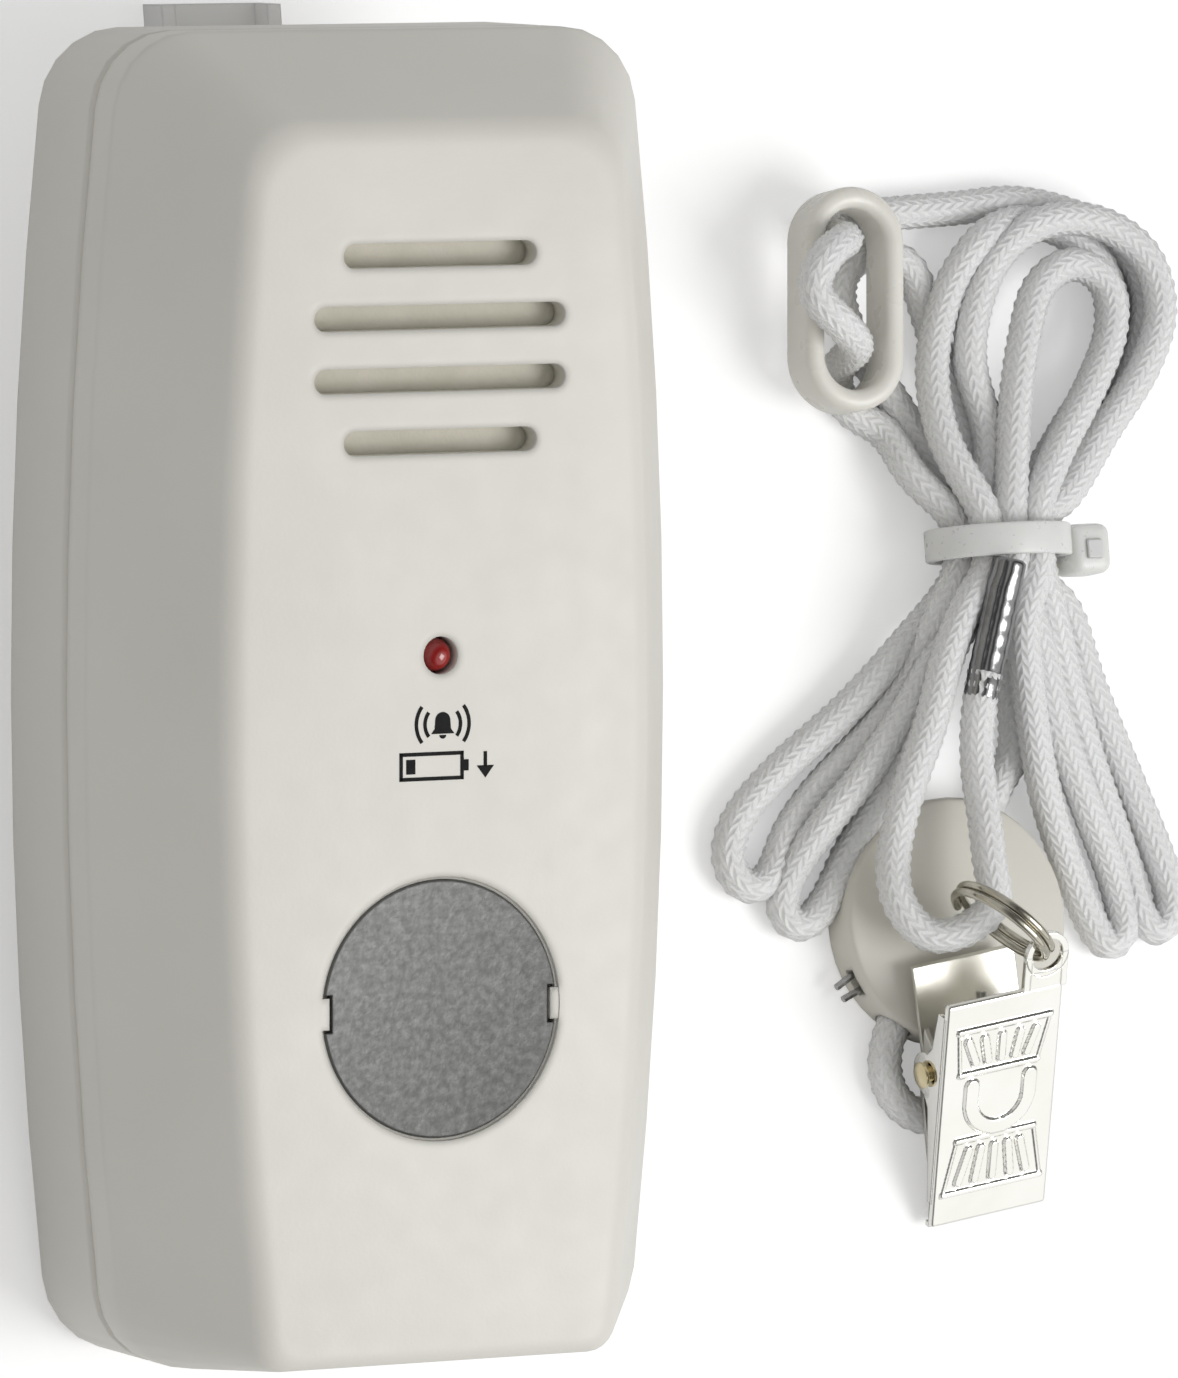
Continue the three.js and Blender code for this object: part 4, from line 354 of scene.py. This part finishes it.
class Shape:
    """Points and faces that are gathered into one mesh."""

    def __init__(self):
        self.points, self.faces = [], []

    def add(self, points, faces):
        start = len(self.points)
        self.points.extend(tuple(p) for p in points)
        self.faces.extend(tuple(start + i for i in face) for face in faces)
        return self

    def rings(self, rings, closed=False):
        """A skin over rings of the same number of points."""
        start, count = len(self.points), len(rings[0])
        for ring in rings:
            self.points.extend(tuple(p) for p in ring)
        for i in range(len(rings) - (0 if closed else 1)):
            a, b = start + i * count, start + ((i + 1) % len(rings)) * count
            for j in range(count):
                k = (j + 1) % count
                self.faces.append((a + j, a + k, b + k, b + j))
        if not closed:
            self.faces.append(tuple(start + j for j in reversed(range(count))))
            self.faces.append(tuple(start + (len(rings) - 1) * count + j for j in range(count)))
        return self

    def prism(self, outline, low, high, axis="z"):
        """A straight-sided block over an outline, along z or across, along x."""
        if axis == "z":
            rings = [[(x, y, z) for x, y in outline] for z in (low, high)]
        else:
            rings = [[(x, y, z) for y, z in outline] for x in (low, high)]
        return self.rings(rings)

    def piece(self, name, slot, matrix=None, **rest):
        return add_piece(name, place(self.points, matrix), self.faces, slot, **rest)


def smooth_path(points, spacing):
    """A centripetal Catmull-Rom curve through the points, at even spacing."""
    p = np.array(points, float)
    p = np.vstack([2 * p[0] - p[1], p, 2 * p[-1] - p[-2]])
    out = []
    for i in range(1, len(p) - 2):
        a, b, c, d = p[i - 1], p[i], p[i + 1], p[i + 2]
        t0 = 0.0
        t1 = t0 + np.linalg.norm(b - a) ** 0.5
        t2 = t1 + np.linalg.norm(c - b) ** 0.5
        t3 = t2 + np.linalg.norm(d - c) ** 0.5
        t = np.linspace(t1, t2, 24, endpoint=False)[:, None]
        a1 = (t1 - t) / (t1 - t0) * a + (t - t0) / (t1 - t0) * b
        a2 = (t2 - t) / (t2 - t1) * b + (t - t1) / (t2 - t1) * c
        a3 = (t3 - t) / (t3 - t2) * c + (t - t2) / (t3 - t2) * d
        b1 = (t2 - t) / (t2 - t0) * a1 + (t - t0) / (t2 - t0) * a2
        b2 = (t3 - t) / (t3 - t1) * a2 + (t - t1) / (t3 - t1) * a3
        out.append((t2 - t) / (t2 - t1) * b1 + (t - t1) / (t2 - t1) * b2)
    dense = np.vstack(out + [p[-2][None]])
    run = np.concatenate([[0], np.cumsum(np.linalg.norm(np.diff(dense, axis=0), axis=1))])
    count = max(4, int(round(run[-1] / spacing)))
    at = np.linspace(0, run[-1], count + 1)
    return np.stack([np.interp(at, run, dense[:, k]) for k in range(3)], 1)


def frames_along(path, twist=0.0):
    """Two directions square to the path at each point, carried along it without twisting."""
    tangents = np.gradient(path, axis=0)
    tangents /= np.linalg.norm(tangents, axis=1)[:, None]
    side = np.cross(tangents[0], (0, 0, 1.0))
    side /= np.linalg.norm(side)
    sides = [side]
    for i in range(1, len(path)):
        side = side - np.dot(side, tangents[i]) * tangents[i]
        side /= np.linalg.norm(side)
        sides.append(side)
    sides = np.array(sides)
    ups = np.cross(tangents, sides)
    turn = np.linspace(0, twist, len(path))[:, None]
    return sides * np.cos(turn) + ups * np.sin(turn), ups * np.cos(turn) - sides * np.sin(turn)


# ---------------------------------------------------------------- the camera

CAMERA_LENS = 337.0
CAMERA_AT = (-0.53105, -0.07369, 1.06013)

camera = bpy.data.objects.new("camera", bpy.data.cameras.new("camera"))
bpy.context.scene.collection.objects.link(camera)
camera.data.lens = CAMERA_LENS
camera.data.clip_start, camera.data.clip_end = 0.05, 20.0
right = Vector((0.89179753, -0.07118327, 0.44679985))
up = Vector((0.03628478, 0.99561718, 0.08619656))
back = Vector((-0.45097736, -0.06065785, 0.89047181))
turn = Matrix((right, up, back)).transposed()
camera.matrix_world = Matrix.Translation(CAMERA_AT) @ turn.to_4x4()
bpy.context.scene.camera = camera

# ---------------------------------------------------------------- the cord

WALES = 8  # columns of stitches round the cord
STITCH = 1.17
AROUND_WALE = 4  # mesh faces across one column
STITCH_SLANT = 0.62
STITCH_RISE = 0.22
EASING_STEPS = 30
EASING = 0.25
OVER_FLOOR = 0.2


def braided_cord(name, points, hides, twist):
    """A knitted tube along the points, with its stitches raised."""
    path = smooth_path(points, STITCH / 4)
    for _ in range(EASING_STEPS):
        path[1:-1] += EASING * (path[:-2] + path[2:] - 2 * path[1:-1])
    path[:, 2] = np.maximum(path[:, 2], CORD_DIAMETER / 2 + OVER_FLOOR)
    run = np.concatenate([[0], np.cumsum(np.linalg.norm(np.diff(path, axis=0), axis=1))])
    length = run[-1]
    sides, ups = frames_along(path, twist)
    count, around = len(path), WALES * AROUND_WALE
    wale = np.arange(around) / AROUND_WALE
    across = np.abs((wale % 1.0) - 0.5) * 2
    phase = run[:, None] / STITCH - across[None] * STITCH_SLANT
    stitch = 0.5 + 0.5 * np.sin(math.tau * phase)
    raised = stitch * (0.4 + 0.6 * np.sin(math.pi * across))[None]
    radius = CORD_DIAMETER / 2 - 0.02 + STITCH_RISE * raised
    radius[[0, -1]] *= 0.5
    angle = math.tau * wale / WALES
    rings = (
        path[:, None]
        + radius[..., None] * np.cos(angle)[None, :, None] * sides[:, None]
        + radius[..., None] * np.sin(angle)[None, :, None] * ups[:, None]
    )
    i, j = np.meshgrid(np.arange(count - 1), np.arange(around), indexing="ij")
    k = (j + 1) % around
    faces = np.stack([i * around + j, i * around + k, (i + 1) * around + k, (i + 1) * around + j], -1)
    step = 1 / AROUND_WALE
    u = np.stack([wale[j], wale[j] + step, wale[j] + step, wale[j]], -1)
    v = np.stack([run[i], run[i], run[i + 1], run[i + 1]], -1) / STITCH
    cord = add_piece(
        name, place(rings, CORD), faces[..., ::-1].reshape(-1, 4), "cord_braid", hides=hides,
        uv=np.stack([u, v], -1)[..., ::-1, :].reshape(-1, 2), sharp=180,
    )
    return cord, place(path, CORD), length * MM


# ---------------------------------------------------------------- the crimped tip

TIP_TOP = Vector((-1.7, -1.9, 11.3))
TIP_END = Vector((-5.1, -14.8, 9.6))


def crimped_tip():
    """A metal sleeve pinched flat along its middle, rolled from sheet with an open seam."""
    length = (TIP_END - TIP_TOP).length
    rings = []
    around = 48
    for i in range(61):
        t = i / 60
        end = min(t, 1 - t) * length
        pinch = 0.16 * min(1.0, max(0.0, (end - 1.6) / 1.4))
        dimple = 0.05 * math.sin(t * 9 * math.pi) ** 2 * (pinch > 0.1)
        ring = []
        for j in range(around):
            a = math.tau * j / around
            radius = 1.62 - 0.35 * max(0.0, 1 - end / 0.35) ** 2 - dimple
            seam = 0.2 * math.exp(-((((a - math.radians(118)) / 0.1)) ** 2))
            radius -= seam
            x, y = radius * math.cos(a), radius * math.sin(a)
            ring.append((x * (1 + pinch * 0.35), y * (1 - pinch), t * length))
        rings.append(ring)
    shape = Shape().rings(rings)
    direction = (TIP_END - TIP_TOP).normalized()
    across = Vector((0, 0, 1)).cross(direction).normalized()
    over = direction.cross(across)
    turn = Matrix((across, over, direction)).transposed().to_4x4()
    # The sleeve is plated like the chrome parts; its finish is the darkened copy that paints in dark
    # reflections.
    return shape.piece(
        "cord_tip_sleeve", "chrome_plate", CORD @ Matrix.Translation(TIP_TOP) @ turn,
        hides=["cord_tip"], sharp=60, material=TIP_CHROME_PAINTED_REFLECTION,
    )


tip = crimped_tip()
cord, cord_path, cord_length = braided_cord(
    "cord_hank", ROUTE,
    ["cord_hank_upper", "cord_hank_lower", "cord_front_loop", "cord_slider_loop"], 9.0,
)
tail, tail_path, tail_length = braided_cord("cord_tail_loop", TAIL, ["cord_tail"], 0.0)

# ---------------------------------------------------------------- slider, tie and ring


def swept(shape, path, across, over, section, closed=True):
    """A section of (across, over) pairs carried along a path."""
    rings = [
        [tuple(Vector(p) + Vector(a) * s + Vector(o) * t) for s, t in section]
        for p, a, o in zip(path, across, over)
    ]
    return shape.rings(rings, closed=closed)


def rounded_section(width, height, radius, steps=5):
    """The outline of a bar's cut end, with round corners."""
    corners = [(1, 1, 0), (-1, 1, 90), (-1, -1, 180), (1, -1, 270)]
    outline = []
    for sx, sy, start in corners:
        for i in range(steps + 1):
            a = math.radians(start + 90 * i / steps)
            outline.append((
                sx * (width / 2 - radius) + radius * math.cos(a),
                sy * (height / 2 - radius) + radius * math.sin(a),
            ))
    return outline


def cord_slider():
    """The oval ring that slides on the cord: a rounded rim, dished a little towards its middle."""
    straight, middle = 5.35, 4.15
    path, out = [], []
    for side in (1, -1):
        for i in range(33):
            a = math.radians(-90 * side + 180 * i / 32) if side == 1 else math.radians(90 + 180 * i / 32)
            path.append((side * straight + middle * math.cos(a), middle * math.sin(a), 0))
            out.append((math.cos(a), math.sin(a), 0))
        for i in range(1, 8):
            t = i / 8
            path.append((side * straight * (1 - 2 * t), side * middle, 0))
            out.append((0, side, 0))
    section = rounded_section(2.0, 5.0, 0.92, 6)
    shape = swept(Shape(), path, out, [(0, 0, 1)] * len(path), section)
    at = CORD @ Matrix.Translation((-14.1, 23.1, 5.8)) @ Matrix.Rotation(math.radians(85.4), 4, "Z")
    return shape.piece("cord_slider_ring", "slider_plastic", at, hides=["cord_slider"], sharp=60)


def cable_tie():
    """A nylon strap round the hank, and the soft-cornered head that holds it."""
    path, out = [], []
    half_width, half_height, steps = 6.6, 5.6, 72
    for i in range(steps):
        a = math.tau * i / steps
        path.append((half_width * math.cos(a), 0, half_height * math.sin(a)))
        out.append(Vector((math.cos(a) / half_width, 0, math.sin(a) / half_height)).normalized())
    shape = swept(Shape(), path, out, [(0, 1, 0)] * len(path), rounded_section(1.0, 3.0, 0.22, 3))
    rings = []
    for i in range(15):
        t = -1 + 2 * i / 14
        size = (1 - abs(t) ** 5) ** 0.2 if abs(t) < 1 else 0.25
        ring = []
        for j in range(40):
            a = math.tau * j / 40
            c, s = math.cos(a), math.sin(a)
            ring.append((
                8.7 + 2.1 * t,
                -0.95 + 2.4 * size * math.copysign(abs(c) ** 0.4, c),
                2.6 * size * math.copysign(abs(s) ** 0.4, s),
            ))
        rings.append(ring)
    shape.rings(rings)
    shape.prism([(8.0, -1.9), (9.5, -1.9), (9.5, -0.2), (8.0, -0.2)], 2.3, 2.95)
    at = CORD @ Matrix.Translation((0, 0, 6.1))
    return shape.piece("cable_tie_strap", "tie_nylon", at, hides=["cable_tie"], sharp=50)


def wire(shape, path, radius, sides=14):
    """A round wire along a path of points."""
    path = np.array(path, float)
    across, over = frames_along(path)
    rings = []
    for p, a, o in zip(path, across, over):
        rings.append([
            tuple(p + radius * (math.cos(math.tau * j / sides) * a + math.sin(math.tau * j / sides) * o))
            for j in range(sides)
        ])
    return shape.rings(rings)


EYE = (4.2, 26.9)
RING_RADIUS = 5
RING_WIRE_RADIUS = 0.4
RING_PITCH = 0.84
RING_TURNS = 1.94


def split_ring():
    """Two turns of plated wire through the clip's eye and the cord's front loop."""
    into_cord = CORD.inverted() @ CLOTH
    across = Vector((0.682, -0.664, 0.301)).normalized()
    normal = Vector((0.67, 0.733, 0.099)).normalized()
    over = normal.cross(across).normalized()
    centre = into_cord @ Vector((*EYE, -0.25)) - across * RING_RADIUS
    path = []
    for i in range(181):
        turns = RING_TURNS * i / 180
        a = math.pi * 0.8 + math.tau * turns
        round_it = across * RING_RADIUS * math.cos(a) + over * RING_RADIUS * math.sin(a)
        path.append(centre + round_it + normal * RING_PITCH * (turns - 1))
    return wire(Shape(), path, RING_WIRE_RADIUS).piece(
        "split_ring_wire", "chrome_plate", CORD, body=FRONT_JAW, hides=["split_ring"], sharp=70,
        material=RING_METAL,
    )


# ---------------------------------------------------------------- the cloth clip's stamped front

CLOTH_HALF = 6.25
CLOTH_LENGTH = 23.6
PIN_AT = (15.0, -3.0)


def to_line(x, y, x0, y0, x1, y1):
    """How far each point is from a straight line's nearest point."""
    along = ((x - x0) * (x1 - x0) + (y - y0) * (y1 - y0)) / ((x1 - x0) ** 2 + (y1 - y0) ** 2)
    along = np.clip(along, 0, 1)
    return np.hypot(x - x0 - along * (x1 - x0), y - y0 - along * (y1 - y0))


def stamped_height(x, y):
    """Two framed panels of fanned ribs, and a wide U between them."""

    def ridge(distance, half, soft):
        t = np.clip((distance - half) / soft, 0, 1)
        return 1 - t * t * (3 - 2 * t)

    z = np.zeros_like(x)
    panels = [
        ((-4.8, 20.6), (5.0, 20.6), (3.9, 16.0), (-4.4, 16.0), 1.14, 0.86),
        ((-4.2, 8.9), (4.1, 8.9), (5.2, 3.4), (-5.3, 3.4), 0.86, 1.14),
    ]
    for a, b, c, d, top, bottom in panels:
        sides = ((a, b, 0.2, 0.26), (c, d, 0.2, 0.26), (b, c, 0.08, 0.14), (d, a, 0.08, 0.14))
        for (x0, y0), (x1, y1), half, height in sides:
            z = np.maximum(z, height * ridge(to_line(x, y, x0, y0, x1, y1), half, 0.16))
        for rib in (-3.3, -1.75, -0.1, 1.6, 3.1):
            distance = to_line(x, y, rib * bottom, c[1] + 1.1, rib * top, a[1] - 1.15)
            z = np.maximum(z, 0.3 * ridge(distance, 0.36, 0.15))
    below = np.abs(np.hypot(x - 0.1, y - 12.9) - 3.1)
    arms = np.minimum(to_line(x, y, -3.0, 12.9, -3.0, 14.6), to_line(x, y, 3.2, 12.9, 3.2, 14.6))
    band = np.where(y < 12.9, below, arms)
    return np.maximum(z, 0.32 * ridge(band, 0.66, 0.18))


def front_jaw():
    """The stamped and folded sheet: its face, lip, side flanges and the ring's eye."""
    xs, ys = np.linspace(-CLOTH_HALF, CLOTH_HALF, 121), np.linspace(0, CLOTH_LENGTH, 201)
    x, y = np.meshgrid(xs, ys)
    z = stamped_height(x, y)
    for edge in (CLOTH_HALF - np.abs(x), CLOTH_LENGTH - y, y):
        near = np.clip(0.4 - edge, 0, 0.4)
        z -= 0.4 - np.sqrt(np.maximum(0, 0.16 - near**2))
    rows, columns = x.shape
    points = [tuple(p) for p in np.stack([x, y, z], -1).reshape(-1, 3)]
    faces = []
    for i in range(rows - 1):
        for j in range(columns - 1):
            a = i * columns + j
            faces.append((a, a + 1, a + columns + 1, a + columns))
    rim = list(range(columns)) + [i * columns + columns - 1 for i in range(1, rows)]
    rim += [(rows - 1) * columns + j for j in range(columns - 2, -1, -1)]
    rim += [i * columns for i in range(rows - 2, 0, -1)]
    start = len(points)
    points += [(points[i][0], points[i][1], -0.5) for i in rim]
    for k, i in enumerate(rim):
        m = (k + 1) % len(rim)
        faces.append((i, start + k, start + m, rim[m]))
    faces.append(tuple(start + k for k in reversed(range(len(rim)))))
    shape = Shape().add(points, faces)
    shape.prism([(-CLOTH_HALF, 0), (CLOTH_HALF, 0), (CLOTH_HALF, 0.5), (-CLOTH_HALF, 0.5)], -1.0, -0.42)
    outline = [(2.5, -0.3), (2.5, -1.0), (11.9, -2.2)]
    outline += [
        (PIN_AT[0] + 2.1 * math.cos(a), PIN_AT[1] + 2.1 * math.sin(a))
        for a in (math.pi + math.pi * i / 18 for i in range(19))
    ]
    outline += [(18.1, -2.2), (CLOTH_LENGTH - 1.5, -1.6), (CLOTH_LENGTH - 1.5, -0.3)]
    for low in (-CLOTH_HALF, CLOTH_HALF - 0.5):
        shape.prism(outline, low, low + 0.5, axis="x")
    eye_x, eye_y = EYE
    around = [math.tau * i / 40 for i in range(40)]
    shape.rings(
        [
            [
                (eye_x + r * math.cos(a), eye_y + r * math.sin(a), h)
                for r, h in ((2.3, -0.5), (2.3, -0.06), (2.24, 0), (1.66, 0), (1.6, -0.06), (1.6, -0.5))
            ]
            for a in around
        ],
        closed=True,
    )
    for low, high, y0, y1 in ((1.9, 2.6, 23.3, 26.9), (5.8, 6.5, 23.3, 26.9), (2.5, 5.9, 23.3, 25.2)):
        shape.prism([(low, y0), (high, y0), (high, y1), (low, y1)], -0.5, -0.01)
    return shape.piece(
        "cloth_clip_stamped_face", "chrome_plate", CLOTH, body=FRONT_JAW,
        hides=["cloth_clip_front_jaw"], sharp=38,
    )


def keeper_seat():
    """The pale bed that the keeper plate is pressed into, seen as a thin line round it."""
    around = [math.tau * i / 120 for i in range(120)]
    section = ((11.53, 29.4), (11.78, 29.4), (11.78, 29.9), (11.66, 29.98), (11.53, 29.9))
    rings = [[(r * math.cos(a), -26.9 + r * math.sin(a), z) for r, z in section] for a in around]
    return Shape().rings(rings, closed=True).piece("keeper_seat", "housing_front", ALARM)


# ---------------------------------------------------------------- the printed signs


def ribbon(shape, line, width, closed=False):
    """A printed stroke: a flat band of that width along a line, just proud of the face."""
    line = [Vector(p) for p in line]
    count = len(line)
    left, right_side = [], []
    for i, p in enumerate(line):
        before = line[i - 1] if i or closed else p
        after = line[(i + 1) % count] if i < count - 1 or closed else p
        way = (after - before).normalized()
        side = Vector((-way.y, way.x)) * width / 2
        left.append(p + side)
        right_side.append(p - side)
    for i in range(count if closed else count - 1):
        k = (i + 1) % count
        shape.prism([tuple(v) for v in (right_side[i], right_side[k], left[k], left[i])], *PRINT_Z)


def rectangle(x0, y0, x1, y1):
    return [(x0, y0), (x1, y0), (x1, y1), (x0, y1)]


def arc(centre, radius, start, end, steps=10):
    angles = [math.radians(start + (end - start) * i / steps) for i in range(steps + 1)]
    return [(centre[0] + radius * math.cos(a), centre[1] + radius * math.sin(a)) for a in angles]


def printed_signs():
    """Generic signs under the lamp: a bell with sound arcs, and a nearly empty battery."""
    shape = Shape()
    low, high = PRINT_Z
    cx, cy = 0.2, -1.7
    bell = [(cx - 1.15, cy - 0.75), (cx + 1.15, cy - 0.75), (cx + 0.8, cy - 0.3), (cx + 0.74, cy + 0.45)]
    bell += arc((cx, cy + 0.45), 0.74, 10, 170) + [(cx - 0.74, cy + 0.45), (cx - 0.8, cy - 0.3)]
    shape.prism(bell, low, high)
    shape.prism(arc((cx, cy - 0.86), 0.34, 180, 360, 8), low, high)
    for radius in (1.75, 2.6):
        for start in (-38, 142):
            ribbon(shape, arc((cx, cy + 0.1), radius, start, start + 76), STROKE)
    bx, by = -0.9, -5.3
    frame_line = rectangle(bx - 3.0, by - 1.1, bx + 3.0, by + 1.1)
    for a, b in zip(frame_line, frame_line[1:] + frame_line[:1]):
        reach = (Vector(b) - Vector(a)).normalized() * STROKE / 2
        ribbon(shape, [Vector(a) - reach, Vector(b) + reach], STROKE)
    shape.prism(rectangle(bx + 3.17, by - 0.5, bx + 3.65, by + 0.5), low, high)
    shape.prism(rectangle(bx - 2.5, by - 0.65, bx - 1.6, by + 0.65), low, high)
    ax = bx + 5.3
    shape.prism(rectangle(ax - 0.17, by - 0.2, ax + 0.17, by + 1.15), low, high)
    shape.prism([(ax, by - 1.2), (ax + 0.85, by - 0.1), (ax - 0.85, by - 0.1)], low, high)
    return shape.piece("printed_signs", "black_plastic", ALARM, material=INK, sharp=30)


cord_slider()
cable_tie()
split_ring()
front_jaw()
keeper_seat()
printed_signs()

# ---------------------------------------------------------------- finishes on the CAD's own parts


def soft_edges(node):
    """Smooth shading within a surface, and a break at its real edges."""
    mesh = node.data
    if "custom_normal" in mesh.attributes:
        mesh.attributes.remove(mesh.attributes["custom_normal"])
    mesh.shade_smooth()
    weld = node.modifiers.new("weld", "WELD")
    weld.merge_threshold = 2e-6
    split = node.modifiers.new("split", "EDGE_SPLIT")
    split.split_angle = math.radians(32)


for name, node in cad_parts.items():
    if node.hide_render:
        continue
    soft_edges(node)
    slot = node.data.materials[0].name.split(".")[0]
    node.data.materials.clear()
    # The back jaw gets the darker copy of the plating, which is painted shade.
    node.data.materials.append(ROUGH_PLATE_PAINTED_SHADE if name == "cloth_clip_back_jaw" else FINISHES[slot])

# ---------------------------------------------------------------- floor, world and lamps

FLOOR_HALF = 6
FLOOR_TONE = 0.87
FLOOR_GLOW = 0.34  # added for the camera alone, so that the background meets white
WORLD_LIGHT = 0.46
KEY_FROM, KEY_DISTANCE, KEY_SIZE, KEY_SHARE = (0.50, -0.36, 0.79), 0.9, 0.5, 0.50


def stage_floor():
    """A plain pale floor that keeps the shadows and meets a white background."""
    mesh = bpy.data.meshes.new("floor")
    r = FLOOR_HALF
    mesh.from_pydata([(-r, -r, 0), (r, -r, 0), (r, r, 0), (-r, r, 0)], [], [(0, 1, 2, 3)])
    floor = bpy.data.objects.new("floor", mesh)
    bpy.context.scene.collection.objects.link(floor)
    n = Nodes("pale_floor")
    n.set(Base_Color=(FLOOR_TONE,) * 3 + (1,), Roughness=0.9, Specular_IOR_Level=0.1)
    seen = n.add("ShaderNodeLightPath").outputs["Is Camera Ray"]
    n.set(Emission_Color=(1, 1, 1, 1), Emission_Strength=n.math("MULTIPLY", seen, FLOOR_GLOW))
    mesh.materials.append(n.material)


def studio_world():
    """Soft light all round, and for metal to reflect a white wall in a darker room."""
    world = bpy.data.worlds.new("studio")
    bpy.context.scene.world = world
    world.use_nodes = True
    tree = world.node_tree
    background = tree.nodes["Background"]
    coordinates = tree.nodes.new("ShaderNodeTexCoord")
    towards = tree.nodes.new("ShaderNodeVectorMath")
    towards.operation = "DOT_PRODUCT"
    towards.inputs[1].default_value = Vector((0.53, -0.50, 0.68)).normalized()
    tree.links.new(coordinates.outputs["Generated"], towards.inputs[0])
    room = tree.nodes.new("ShaderNodeValToRGB")
    stops = [(0.0, 0.6), (0.25, 0.26), (0.5, 0.1), (0.7, 0.3), (0.8, 1.0), (1.0, 1.0)]
    while len(room.color_ramp.elements) < len(stops):
        room.color_ramp.elements.new(0.5)
    for element, (position, level) in zip(room.color_ramp.elements, stops):
        element.position = position
        element.color = (level, level, level * 0.985, 1)
    tree.links.new(towards.outputs["Value"], room.inputs["Fac"])
    path = tree.nodes.new("ShaderNodeLightPath")
    mirrored = tree.nodes.new("ShaderNodeMath")
    mirrored.operation = "MAXIMUM"
    tree.links.new(path.outputs["Is Glossy Ray"], mirrored.inputs[0])
    tree.links.new(path.outputs["Is Transmission Ray"], mirrored.inputs[1])
    mix = tree.nodes.new("ShaderNodeMix")
    mix.data_type = "RGBA"
    mix.inputs[6].default_value = (WORLD_LIGHT,) * 3 + (1,)
    tree.links.new(mirrored.outputs[0], mix.inputs[0])
    tree.links.new(room.outputs["Color"], mix.inputs[7])
    seen = tree.nodes.new("ShaderNodeMix")
    seen.data_type = "RGBA"
    seen.inputs[7].default_value = (1, 1, 1, 1)
    tree.links.new(path.outputs["Is Camera Ray"], seen.inputs[0])
    tree.links.new(mix.outputs[2], seen.inputs[6])
    tree.links.new(seen.outputs[2], background.inputs["Color"])


def area_lamp(name, direction, distance, size, share):
    """A soft lamp whose light adds that share to a white surface that faces it."""
    lamp = bpy.data.lights.new(name, "AREA")
    lamp.size = size
    lamp.energy = share * math.pi**2 * distance**2
    holder = bpy.data.objects.new(name, lamp)
    bpy.context.scene.collection.objects.link(holder)
    way = Vector(direction).normalized()
    holder.location = way * distance
    holder.rotation_mode = "QUATERNION"
    holder.rotation_quaternion = way.to_track_quat("Z", "Y")


stage_floor()
studio_world()
area_lamp("key", KEY_FROM, KEY_DISTANCE, KEY_SIZE, KEY_SHARE)

bpy.context.scene.view_settings.view_transform = "Standard"
